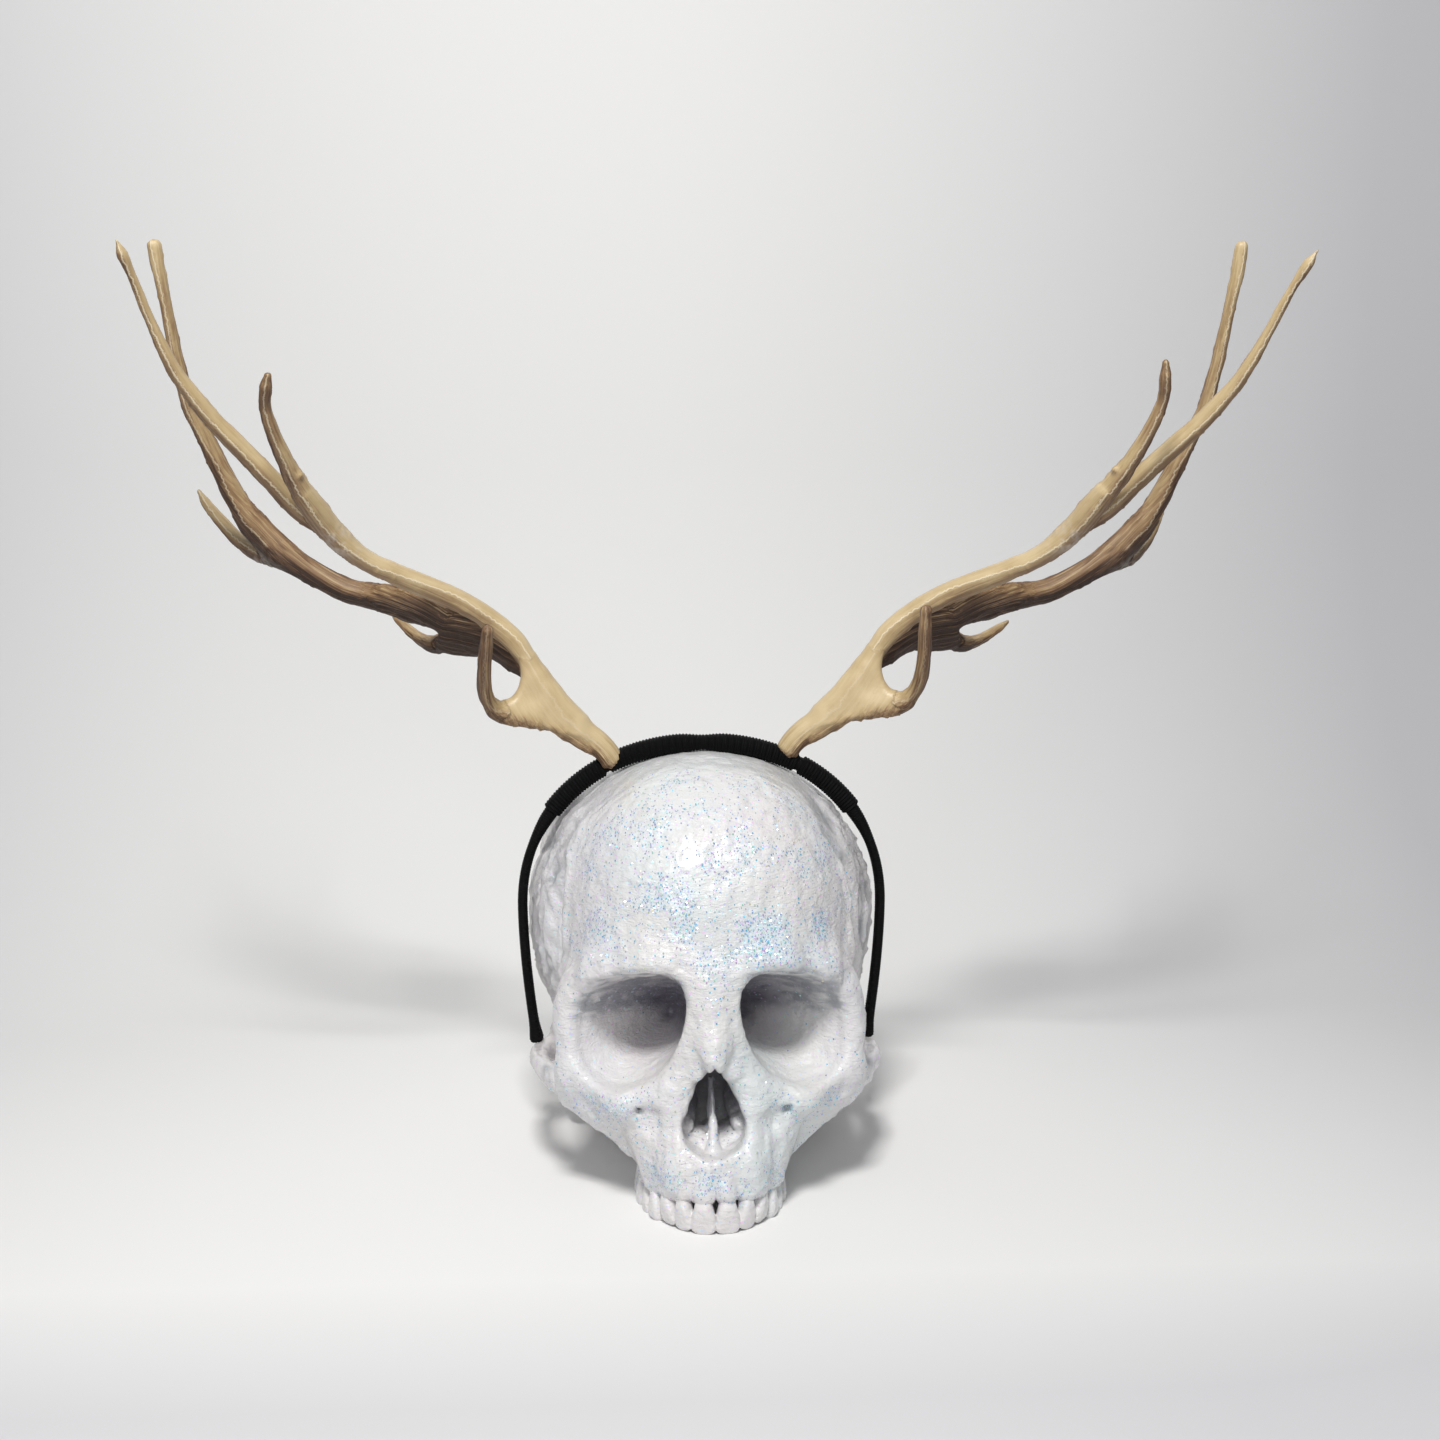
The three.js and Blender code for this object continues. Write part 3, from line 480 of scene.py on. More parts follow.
def antler_field(branches, side):
    """The whole antler as one field on a grid, in which each branch melts into what it grows from."""
    everything = np.concatenate([b["middle"] for b in branches.values()])
    margin = 9
    low, high = everything.min(0) - margin, everything.max(0) + margin
    axes = [np.arange(low[k], high[k] + ANTLER_CELL, ANTLER_CELL) for k in range(3)]
    value = np.full([len(a) for a in axes], FAR_OUT, np.float32)

    def near_box(ends, reach=0):
        ends = np.array(ends, float)
        low, high = ends.min(0) - reach, ends.max(0) + reach
        return tuple(slice(*np.searchsorted(axes[k], (low[k], high[k]))) for k in range(3))

    def grid_in(box):
        return np.stack(np.meshgrid(*[axes[k][box[k]] for k in range(3)], indexing="ij"), -1)

    for name, rings in branches.items():
        own = []
        for i in range(len(rings["middle"]) - 1):
            box = near_box(rings["middle"][i : i + 2], rings["half"][i : i + 2].max() + 4.5)
            grid = grid_in(box)
            near = oval_distance(grid.reshape(-1, 3), rings, i)[0].reshape(grid.shape[:3])
            own.append((box, near.astype(np.float32)))
        boxes = [box for box, _ in own]
        whole = tuple(slice(min(b[k].start for b in boxes), max(b[k].stop for b in boxes)) for k in range(3))
        branch = np.full([s.stop - s.start for s in whole], FAR_OUT, np.float32)
        for box, near in own:
            inner = tuple(slice(s.start - o.start, s.stop - o.start) for s, o in zip(box, whole))
            branch[inner] = np.minimum(branch[inner], near)
        if name == "spur":
            box = near_box(GAP["box"])
            value[box] = -blend(-value[box], gap_distance(grid_in(box)).astype(np.float32), GAP["melt"])
        value[whole] = blend(value[whole], branch, BRANCHES[name]["melt"])
        if name == "base":
            box = near_box(WEB["box"])
            value[box] = blend(value[box], web_distance(grid_in(box)).astype(np.float32), WEB["melt"])
    bend = np.array(TIP_BEND[side].get("inner_tine", (0, 0, 0)))
    wart = np.array(WART["place"]) + bend * WART["follows_inner_tine"]
    box = near_box([wart], WART["radius"] + 3)
    ball = np.linalg.norm(grid_in(box) - wart, axis=-1) - WART["radius"]
    value[box] = blend(value[box], ball.astype(np.float32), WART["melt"])
    return value, axes


def outline_distance(outward, up, corners):
    """Distance from a flat outline, negative inside it."""
    corners = np.array(corners, float)
    nearest = np.full(outward.shape, 1e9)
    inside = np.zeros(outward.shape, bool)
    for (ax, ay), (bx, by) in zip(corners, np.roll(corners, -1, axis=0)):
        ex, ey = bx - ax, by - ay
        px, py = outward - ax, up - ay
        t = np.clip((px * ex + py * ey) / (ex * ex + ey * ey), 0, 1)
        nearest = np.minimum(nearest, np.hypot(px - t * ex, py - t * ey))
        crosses = ((ay > up) != (by > up)) & (outward < ax + (up - ay) * ex / (ey if ey else 1e-9))
        inside ^= crosses
    return np.where(inside, -nearest, nearest)


def gap_distance(points):
    outward, back, up = points[..., 0], GAP["depth"] + points[..., 1], points[..., 2]
    return outline_distance(outward - GAP["outward"] * back, up + GAP["down"] * back, GAP["outline"])


def web_distance(points):
    """A plate with a rounded rim, which leans forward as it goes outward."""
    outward, forward, up = points[..., 0], -points[..., 1], points[..., 2]
    rim, half = WEB["rim"], WEB["thick"] / 2
    flat = outline_distance(outward, up, WEB["outline"]) + rim
    middle = WEB["forward"] + WEB["lean_outward"] * outward + WEB["lean_up"] * up
    deep = np.abs(forward - middle) - (half - rim)
    return np.hypot(np.maximum(flat, 0), np.maximum(deep, 0)) + np.minimum(np.maximum(flat, deep), 0) - rim


def branch_coordinates(points, branches):
    """For each point: its branch, how far along and across that it lies, and where the crest is."""
    best = np.full(len(points), 1e9)
    from_beam = np.full(len(points), 9.0)
    margin = 14
    keys = ("run", "wide", "thin", "half_wide", "half_thin", "branch", "share", "crest", "flip")
    found = {key: np.zeros(len(points)) for key in keys}
    for number, (name, rings) in enumerate(branches.items()):
        first_way, last_way = np.array(BRANCHES[name]["crest"])
        low, high = rings["middle"].min(0) - margin, rings["middle"].max(0) + margin
        near = np.flatnonzero(((points > low) & (points < high)).all(1))
        own = {key: np.zeros(len(near)) for key in keys}
        own_best = np.full(len(near), 1e9)
        length = rings["run"][-1] - rings["run"][0]
        steps = len(rings["middle"]) - 1
        for i in range(steps):
            distance, place = oval_distance(points[near], rings, i)
            better = distance < own_best
            own_best[better] = distance[better]
            for key, values in place.items():
                own[key][better] = values[better]
            own["share"][better] = (place["run"][better] - rings["run"][0]) / length
            wide_axis, thin_axis = rings["wide_axis"][i], rings["thin_axis"][i]
            faces_way = first_way + (last_way - first_way) * i / steps
            half_wide, half_thin = rings["half"][i]
            crest = math.atan2(faces_way @ thin_axis / half_thin, faces_way @ wide_axis / half_wide)
            side = SMOOTH_SIDE @ (math.cos(crest) * thin_axis - math.sin(crest) * wide_axis)
            own["crest"][better] = crest
            own["flip"][better] = math.copysign(1, side)
        own["branch"][:] = number
        if name == "base":
            own_best = np.minimum(own_best, web_distance(points[near]))
        if name == "front_beam":
            from_beam[near] = own_best
        wins = own_best < best[near]
        best[near[wins]] = own_best[wins]
        for key in keys:
            found[key][near[wins]] = own[key][wins]
    # Painted shadow on the palm where it lies under the front beam
    on_palm = found["branch"] == list(BRANCHES).index("palm")
    found["seam"] = on_palm * smoothstep(6, 0, from_beam)
    return found


def near_lower_edge(points):
    """1 along the lower, outer rim of the foot and the web, 0 away from it."""
    corners = np.array(LOWER_RIM, float)
    nearest = np.full(len(points), 1e9)
    for a, b in zip(corners[:-1], corners[1:]):
        step = b - a
        off = points[:, [0, 2]] - a
        t = np.clip(off @ step / (step @ step), 0, 1)
        nearest = np.minimum(nearest, np.linalg.norm(off - t[:, None] * step, axis=1))
    return smoothstep(5.5, 2.5, nearest)


def spread(values, faces, rounds):
    """Softens per-point values by averaging them with their neighbours."""
    padded = np.column_stack([values, values, values])
    return relax(padded, faces, rounds, 0.4)[:, 0]


# The moulded relief's patterns: how long and how wide each is, in millimetres, and its seed.
PATTERN = {
    "strands": ((40, 2.6, 2.6), 11), "foot_grooves": ((30, 2.2, 2.2), 15), "worms": ((8, 3.6, 3.6), 23),
    "wrinkles": ((9, 2.8, 5), 27), "lumps": ((13, 7, 7), 31), "dents": ((3.4, 3.4, 3.4), 41),
}
# How high each part of the relief stands, in millimetres
RELIEF = {
    "strands": 0.7, "crest": 0.45, "worms": 0.28, "dents": 0.3, "foot_grooves": 0.9, "wrinkles": 2.3,
    "scars": 1.4,
}
CREST_HALF_WIDTH = 1.5


def across_the_crest(where):
    """How far each point is from its branch's crest line, and whether it is on the crest's side."""
    radius = np.sqrt(np.maximum(where["half_wide"] * where["half_thin"], 1))
    turn = np.arctan2(where["thin"] / where["half_thin"], where["wide"] / where["half_wide"])
    wander = 0.7 * (layered(np.column_stack([where["run"] / 22, where["branch"] * 7.1]), 51, 2) - 0.5)
    across = (turn - where["crest"]) * where["flip"] - wander
    return radius * np.sin(across), np.cos(across)


def scar_cover(points):
    """1 at the middle of a scar, broken up towards its edge."""
    away = [np.linalg.norm(points - np.array(scar["place"]), axis=1) / scar["reach"] for scar in SCARS]
    return hump(np.minimum(*away), 0, 1) * smoothstep(0.35, 0.6, layered(points / 2.2, 67, 3))


def antler_relief(where, under, faces, points):
    """Height of the moulded relief, and what the paint, the painted shade and the painted highlight go by."""
    of_branch = lambda key: np.array([b[key] for b in BRANCHES.values()], float)[where["branch"].astype(int)]
    # How brown each branch is: brown wash, and painted shade on the branches that lie in shade
    paint = of_branch("paint")
    brown = spread(paint[:, 0] + (paint[:, 1] - paint[:, 0]) * where["share"], faces, 30)
    grain = spread(of_branch("grain"), faces, 12)
    straight = np.column_stack([where["run"], where["wide"], where["thin"]])

    def pattern(kind, name, layers):
        spacing, seed = PATTERN[name]
        return kind(straight / np.array(spacing, float), seed, layers)

    off_crest, front = across_the_crest(where)
    on_web = spread((where["branch"] == 0).astype(float), faces, 8)
    below = smoothstep(-0.4, 1.4, np.where(front > 0, -off_crest, 2))
    below = spread(below * (1 - on_web) + on_web * near_lower_edge(points), faces, 10)
    fades = smoothstep(0.75, 0.4, grain) * (1 - 0.75 * on_web)
    ribbed = grain * (0.35 + 0.65 * np.maximum(below, under))
    foot = on_web * smoothstep(17, 4, where["run"]) * (0.35 + 0.65 * below)
    groove = np.clip(1.05 - pattern(ridged, "strands", 2), 0, 1) ** 1.3
    scar = scar_cover(points)

    crest = hump(off_crest, 0, CREST_HALF_WIDTH) * (front > 0) * (0.35 + 0.65 * fades)
    height = (0.25 + 0.75 * below) * (pattern(layered, "lumps", 2) - 0.5)
    height += RELIEF["crest"] * crest - RELIEF["strands"] * groove * ribbed
    height += RELIEF["worms"] * below * smoothstep(0.8, 0.97, pattern(ridged, "worms", 1))
    height += RELIEF["dents"] * (0.3 + below) * (pattern(layered, "dents", 2) - 0.5)
    height += RELIEF["scars"] * scar * (noise(points / 1.5, 69) - 0.3)
    height += RELIEF["wrinkles"] * on_web * below * (pattern(ridged, "wrinkles", 2) - 0.6)
    height += RELIEF["foot_grooves"] * foot * (pattern(ridged, "foot_grooves", 2) - 0.7)

    # The brown wash in the grooves, with painted shade added on the shaded branches, on downward-facing
    # parts, below the crest and on the palm under the front beam
    wash_and_painted_shade = brown * (0.45 + 0.3 * below) + 0.26 * under + 0.13 * below
    wash_and_painted_shade += 0.3 * (groove - 0.3) * ribbed + 0.3 * spread(where["seam"], faces, 4)
    numbers = {
        "straight": straight, "wash_and_painted_shade": np.clip(wash_and_painted_shade, 0, 1), "scar": scar,
        "crest": np.column_stack([off_crest, front, fades]),
        "ribbed": np.maximum(ribbed * (1 - 0.8 * on_web * (1 - below)), 0.8 * foot),
    }
    return height, numbers


def antler_place(side):
    """The turn and the shift that set an antler on the headband. The left one is a mirror image."""
    mirror = -1 if side == "left" else 1
    yaw, pitch, roll = (math.radians(v) for v in ANTLER_TURN_DEG[side])
    turn = Matrix.Rotation(yaw, 3, "Z") @ Matrix.Rotation(pitch, 3, "X") @ Matrix.Rotation(roll, 3, "Y")
    shift = ANTLER_ROOT * [mirror, 1, 1] + np.array(ANTLER_SHIFT[side], float)
    return np.array(turn) @ np.diag([mirror, 1, 1]), shift


def make_antler(side, material):
    branches = antler_branches(side)
    value, axes = antler_field(branches, side)
    points, faces = keep_largest(*skin(value, axes))
    points = relax(points, faces, 2)
    turn, shift = antler_place(side)
    facing = normals(points, faces)
    where = branch_coordinates(points, branches)
    outward = facing @ turn.T
    # Downward-facing parts: they get more ribs and painted shade
    under = smoothstep(-0.1, 0.75, 0.2 - 0.9 * outward[:, 2] + 0.15 * outward[:, 1])
    height, numbers = antler_relief(where, under, faces, points)
    thin_tip = np.clip(where["half_thin"] / 3, 0.3, 1)
    points = points + facing * (height * thin_tip)[:, None]
    placed = points @ turn.T + shift
    # The left antler is mirrored, so its faces are reversed to look out again.
    if side == "left":
        faces = faces[:, ::-1]
    piece = make_mesh(f"antler_{side}", placed, faces, material, numbers)
    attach(piece, "root")
    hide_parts(*[f"antler_{side}_{name}" for name in BRANCHES])
    return piece


# Skull. Points are [sideways, forward, up] from the middle of the ear axis, as in the solids.

def egg(centre, radii, turn_deg=0, squareness=2):
    """An ellipsoid, turned about the upright axis; a squareness above 2 makes it boxier."""
    centre, radii = np.array(centre, float), np.array(radii, float)
    cos, sin = math.cos(math.radians(turn_deg)), math.sin(math.radians(turn_deg))

    def distance(p):
        off = p - centre
        if turn_deg:
            x, f, h = off[..., 0], off[..., 1], off[..., 2]
            off = np.stack([x * cos + f * sin, f * cos - x * sin, h], -1)
        q = np.abs(off) / radii
        size = (q**squareness).sum(-1) ** (1 / squareness)
        slope = np.sqrt(((q / radii) ** 2).sum(-1))
        return size * (size - 1) / np.maximum(slope, 1e-6)

    return distance


def rod(a, b, ra, rb):
    a, b = np.array(a, float), np.array(b, float)
    step = b - a

    def distance(p):
        t = np.clip((p - a) @ step / (step @ step), 0, 1)
        off = p - a - t[..., None] * step
        return np.sqrt((off * off).sum(-1)) - (ra + (rb - ra) * t)

    return distance


VAULT = [
    egg((0, -18, 50), (70, 68, 68)),
    egg((0, 30, 50), (56, 62.5, 60), 0, 2.3),
    egg((0, 6, 52), (61, 66, 61.5)),
    egg((0, -48, 14), (52, 38, 48)),
    egg((0, 4, 0), (50, 44, 26)),
    egg((0, 46, 14), (43, 25, 26)),
    rod((50, -14, -8), (49, -10, -26), 12, 7.5),
]
BROW = [
    rod((0, 85, 33), (22, 82, 40), 7.5, 6),
    rod((22, 82, 40), (41, 74.5, 37), 6, 5),
    rod((41, 74.5, 37), (49.4, 67, 29), 5, 4.2),
    egg((52.6, 65, 22), (4.2, 4.6, 4.6)),
]
CHEEKBONE = [
    rod((50, 67, 28), (52, 64.5, 14), 4.6, 4.6),
    rod((52, 64.5, 14), (50, 66, 0), 4.6, 6),
    rod((50, 66, 0), (33, 79, -9), 6, 5),
    rod((33, 79, -9), (18, 83, -6), 5, 5),
    rod((50, 64, -3), (53, 58, -6), 6.5, 6.5),
    rod((50, 61, -7), (38, 66, -12), 7.5, 9),
    rod((44, 61, -14.5), (28, 64, -28), 5.2, 5.5),
    egg((41, 54, 14), (6.5, 20, 24), -37),
]
UPPER_JAW = [
    egg((0, 60, -14), (27, 26, 20)),
    egg((20, 72, -16), (13, 14, 18)),
    rod((0, 90.5, -36.6), (12, 88, -36.6), 5.6, 5.6),
    rod((12, 88, -36.6), (18.6, 77, -36.6), 5.6, 5.9),
    rod((18.6, 77, -36.6), (19.6, 52, -36), 5.9, 6.2),
    rod((0, 91, -30), (11.5, 87.5, -29), 5.6, 6.4),
    rod((11.5, 87.5, -29), (18.6, 76, -28), 6.4, 7.2),
    rod((18.6, 76, -28), (19.2, 54, -28), 7.2, 7.8),
    rod((14, 42, -14), (13, 39, -34), 6, 4.5),
]
NOSE = [
    rod((0, 88, 30), (0, 93.8, 12), 5.6, 3.8),
    rod((0, 93.8, 12), (0, 97.2, 3.6), 3.8, 2.6),
    rod((3.6, 87, 24), (6.2, 88, 3), 4, 3.8),
    rod((8, 85, 26), (13.5, 83, -4), 4.6, 5),
    rod((13.5, 83, -4), (16, 82, -20), 5, 6.5),
    rod((12.6, 86.4, -12), (11.6, 87.6, -22), 1.7, 1.9),
    rod((11.6, 87.6, -22), (6.5, 90.2, -27.6), 1.9, 1.9),
    rod((6.5, 90.2, -27.6), (0, 93.6, -29.4), 1.9, 2.2),
]
CHEEK_ARCH = [
    (52, 58, -7, 12, 8), (59, 50, -6, 10.4, 6.6), (63.4, 40, -4, 7.4, 5.6), (65.6, 26, -3.4, 7, 5),
    (65, 12, -3.6, 7.4, 6), (61, 1, -5, 8.6, 8.6), (56, -7, -3, 9, 10),
]
CHEEK_KNOB = egg((63.6, -1, -4.4), (4.7, 6, 4.5))
ARCH_STEPS = 4
BLEND = {"vault": 16, "face": 6, "join": 12, "cut": 1.5, "arch": 5, "root": 1.5, "knob": 1.6, "conch": 2}

# The eye socket is a cone whose mouth faces forward and a little outward, boxier above than below.
SOCKET = {
    "mouth": (28.8, 76, 16), "outward_deg": 21, "half_wide": 20.4, "half_tall": 19.2, "deep": 45,
    "droop": 0.16, "inner_lean": 0.2, "narrows": 0.94, "flare": 0.012, "boxy_above": 2.6, "boxy_below": 2.15,
}
# The nose opening: its heights, its half width, how far up it is widest, and how far back it goes
NOSE_HOLE = {"foot": -27.6, "top": 5.8, "half_width": 11.9, "widest": 0.34, "back": 46}


def socket_place(p):
    """Places seen from the mouth of the socket: outward, inward along its axis, and up."""
    off = p - np.array(SOCKET["mouth"], float)
    turn = math.radians(SOCKET["outward_deg"])
    cos, sin = math.cos(turn), math.sin(turn)
    sideways = off[..., 0] * cos - off[..., 1] * sin
    inward = -off[..., 0] * sin - off[..., 1] * cos
    upward = off[..., 2] + SOCKET["droop"] * sideways
    sideways = np.where(sideways < 0, sideways + SOCKET["inner_lean"] * upward, sideways)
    return sideways, inward, upward


def socket(p):
    """The hole: the outer and lower walls slope in at once, and the inner and upper walls close in late."""
    sideways, inward, upward = socket_place(p)
    depth = np.clip(inward / SOCKET["deep"], 0, 1)
    round_in = 1 - SOCKET["narrows"] * depth**1.7
    straight_in = 1 - SOCKET["narrows"] * depth**0.75
    flare = 1 + SOCKET["flare"] * np.clip(-inward, 0, 12)
    square = np.where(upward > 0, SOCKET["boxy_above"], SOCKET["boxy_below"])
    u = np.abs(sideways) / (SOCKET["half_wide"] * np.where(sideways > 0, straight_in, round_in) * flare)
    v = np.abs(upward) / (SOCKET["half_tall"] * np.where(upward > 0, round_in, straight_in) * flare)
    size = (u**square + v**square) ** (1 / square)
    return np.maximum((size - 1) * 15 * straight_in, inward - SOCKET["deep"] + 1)


def nose_hole(p):
    """Pear-shaped: a point between the nose bones, a round foot above the teeth."""
    x, f, h = p[..., 0], p[..., 1], p[..., 2]
    low, top, widest = NOSE_HOLE["foot"], NOSE_HOLE["top"], NOSE_HOLE["widest"]
    rise = np.clip((h - low) / (top - low), 0, 1)
    foot = np.sqrt(np.clip(1 - (1 - np.minimum(rise, widest) / widest) ** 2, 0, 1))
    neck = 1 - (np.maximum(rise - widest, 0) / (1 - widest)) ** 1.3
    half = NOSE_HOLE["half_width"] * foot * neck * (0.8 + 0.2 * smoothstep(60, 84, f))
    return np.maximum.reduce([(x - half) * 0.85, h - top, low - h, NOSE_HOLE["back"] - f])


TEMPLE_HOLLOW = egg((66.5, 47, 58), (16, 13, 34))
HOLLOWS = [
    egg((66, 44, 2), (24, 23, 36)),
    TEMPLE_HOLLOW,
    egg((24.5, 95, -16), (8.5, 11.5, 9)),
    egg((27, 83.6, -11.6), (2, 2.8, 1.5)),
    egg((0, 60, -47), (14, 28, 15)),
    egg((0, -28, -30), (14, 17, 10)),
    socket,
    nose_hole,
]
NOSE_INNER = [
    rod((9.5, 78, -19), (7.5, 56, -13), 2.2, 3.2),
    rod((0, 86, -27), (0, 56, -24), 2.4, 3),
    egg((6, 68, -28), (7.5, 15, 8)),
    rod((0.6, 85, -26), (-0.4, 80, -9), 1.7, 0.9),
    rod((0.6, 79, -26), (-0.4, 73, -6), 1.8, 1),
    rod((0.4, 73, -26), (0, 66, -4), 2, 1.1),
]


def joined(forms, p, reach):
    """All the forms, each blended into those before it."""
    total = forms[0](p)
    for form in forms[1:]:
        total = blend(total, form(p), reach)
    return total


def cheek_arch(p):
    """The bar from the cheekbone back to the ear, as a chain of flattened rods."""
    stations = np.array(CHEEK_ARCH, float)
    middle = curve_points(stations[:, :3], ARCH_STEPS)[0]
    total = np.full(p.shape[:-1], 50.0)
    spans = len(stations) - 1
    for i in range(len(middle) - 1):
        k = min(spans - 1, i // ARCH_STEPS)
        t = i / ARCH_STEPS - k
        tall, deep = (stations[k, 3:] * (1 - t) + stations[k + 1, 3:] * t) / 2
        a, step = middle[i], middle[i + 1] - middle[i]
        s = np.clip((p - a) @ step / (step @ step), 0, 1)
        off = p - a - s[..., None] * step
        q = np.sqrt(((off / [deep, deep, tall]) ** 2).sum(-1))
        total = np.minimum(total, (q - 1) * min(deep, tall))
    return total


def folded(p):
    """Both halves of the skull laid on the one with positive sideways places."""
    return np.concatenate([np.abs(p[..., :1]), p[..., 1:]], -1)


def bone(p):
    """The whole skull without its teeth."""
    p = folded(p)
    face = joined(BROW + CHEEKBONE + UPPER_JAW + NOSE, p, BLEND["face"])
    whole = blend(joined(VAULT, p, BLEND["vault"]), face, BLEND["join"])
    whole = blend(whole, joined(tooth_roots(), p, 1.0), BLEND["root"])
    for hollow in HOLLOWS:
        whole = -blend(-whole, hollow(p), BLEND["cut"])
    whole = blend(whole, joined(NOSE_INNER, p, BLEND["conch"]), BLEND["conch"])
    return blend(blend(whole, cheek_arch(p), BLEND["arch"]), CHEEK_KNOB(p), BLEND["knob"])


def skull_to_display(p):
    """Tips the skull back on its teeth, sets it on the surface and turns its face to -Y."""
    tilt = math.radians(SKULL_TILT_DEG)
    x, f, h = p[:, 0], p[:, 1], p[:, 2]
    y = -f * math.cos(tilt) + h * math.sin(tilt)
    z = f * math.sin(tilt) + h * math.cos(tilt) + FLOOR_DROP
    return np.column_stack([x, y, z])


def spaced(*zones):
    """Grid places along one axis, from zones of (low, high, step)."""
    steps = [np.arange(low, high - step * 0.4, step) for low, high, step in zones]
    return np.concatenate(steps + [[zones[-1][1]]])


def field_on(axes, form, slab=24):
    """The form's values on a grid, a few layers at a time to spare memory."""
    value = np.empty([len(a) for a in axes], np.float32)
    for start in range(0, len(axes[0]), slab):
        grid = np.stack(np.meshgrid(axes[0][start : start + slab], axes[1], axes[2], indexing="ij"), -1)
        value[start : start + slab] = form(grid)
    return value


# How high each part of the cast bone's unevenness stands, in millimetres
BONE_RELIEF = {
    "temple": 6.4, "temple_rim": 1.1, "soft": 1.0, "creases": 1.2, "grain": 0.9, "pores": 0.22, "brow": 1.3,
}


def skull_relief(p, facing):
    """Unevenness of the cast bone, and painted shade in the temples' creases and a painted shadow under the
    brow's edge.
    """
    q = folded(p)
    aside, forward, up = q.T
    beside = smoothstep(38, 52, aside) * smoothstep(0.25, 0.7, np.abs(facing[:, 0]))
    temple = beside * smoothstep(-20, 5, up) * smoothstep(66, 50, forward) * smoothstep(112, 90, up)
    temple_rim = hump(TEMPLE_HOLLOW(q), 2.2, 1.7) * smoothstep(26, 34, up) * smoothstep(40, 52, forward)
    over_eyes = hump(up, 38, 8) * smoothstep(58, 72, forward) * smoothstep(5, 16, aside)
    rough = (0.3 + 0.7 * smoothstep(40, 62, forward)) * (1 - 0.7 * socket_mask(p))

    wander = np.column_stack([layered(p / 17, 55 + k, 2) for k in range(3)]) * 1.8
    folds = ridged(p / [13, 12, 30] + wander, 61, 3)
    creases = ridged(p / [6, 6, 10] + 0.7 * wander, 87, 2)
    wrinkles = ridged(p / [8, 6, 3] + 0.5 * wander, 93, 2)
    height = BONE_RELIEF["temple"] * temple * (folds - 0.62)
    height += BONE_RELIEF["temple_rim"] * temple_rim
    height += BONE_RELIEF["soft"] * (layered(p / 13, 71, 2) - 0.5)
    height += BONE_RELIEF["creases"] * rough * (creases - 0.6)
    height += BONE_RELIEF["grain"] * rough * (layered(p / [2.6, 2.6, 3.6], 81, 3) - 0.5)
    height += BONE_RELIEF["pores"] * (noise(p / 1.7, 83) - 0.5)
    height += BONE_RELIEF["brow"] * over_eyes * (wrinkles - 0.6)

    # The second value is painted shade: in the temples' deep folds, and in a broken line that stands for the
    # shadow under the brow's edge.
    broken = smoothstep(0.35, 0.6, layered(p / [5, 5, 1.6], 97, 2))
    painted_brow_shadow = hump(socket(q), 0, 1.1) * smoothstep(3, 9, socket_place(q)[2]) * broken
    return height, np.clip(4.6 * temple * (0.65 - folds) + 0.8 * painted_brow_shadow, 0, 1)


def painted_hollow_shade(p):
    """Painted shade in an eye socket or in the nose, from 0 to 1: a painted shadow over the upper, inner part
    of each socket that grows inward, darkest deep in, and lighter painted shade inside the nose.
    """
    q = folded(p)
    sideways, inward, upward = socket_place(q)
    share = inward / SOCKET["deep"]
    shaded = smoothstep(-4, 4, upward - 0.6 * sideways)
    painted_roof_shadow = shaded * (0.36 * smoothstep(0.02, 0.16, share) + 0.5 * smoothstep(0.3, 0.8, share))
    in_socket = socket_mask(p) * np.maximum(painted_roof_shadow, smoothstep(0.7, 1.05, share))
    in_nose = smoothstep(3, 0, nose_hole(q)) * smoothstep(84, 70, p[:, 1]) * smoothstep(-26, -12, p[:, 2])
    return np.maximum(in_socket, 0.6 * in_nose)


def make_skull(material):
    """The skull on a grid that is finest over the face."""
    cell = 1.0
    axes = [
        spaced((-78, -32, 1.7 * cell), (-32, 32, 1.0 * cell), (32, 78, 1.7 * cell)),
        spaced((-92, 46, 2.4 * cell), (46, 108, 1.1 * cell)),
        spaced((-52, 42, 1.15 * cell), (42, 128, 1.9 * cell)),
    ]
    points, faces = keep_largest(*skin(field_on(axes, bone), axes))
    points = relax(points, faces, 2)
    facing = normals(points, faces)
    height, crease_and_brow_shade = skull_relief(points, facing)
    points = points + facing * height[:, None]
    # The crease and cavity numbers are painted shade: in creases and under the brow, and in the sockets and
    # the nose.
    numbers = {"glitter": glitter_density(points, facing), "painted_crease_and_brow_shade": crease_and_brow_shade, "painted_cavity_shade": painted_hollow_shade(points)}
    placed = skull_to_display(points)
    placed[:, 2] = np.maximum(placed[:, 2], 0)
    # The forward axis is turned to -Y, which is a mirror, so the faces are reversed to look out again.
    piece = make_mesh("skull", placed, faces[:, ::-1], material, numbers)
    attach(piece, "root")
    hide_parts("skull_braincase", "skull_face", "skull_cheek_arch_left", "skull_cheek_arch_right")
    return piece


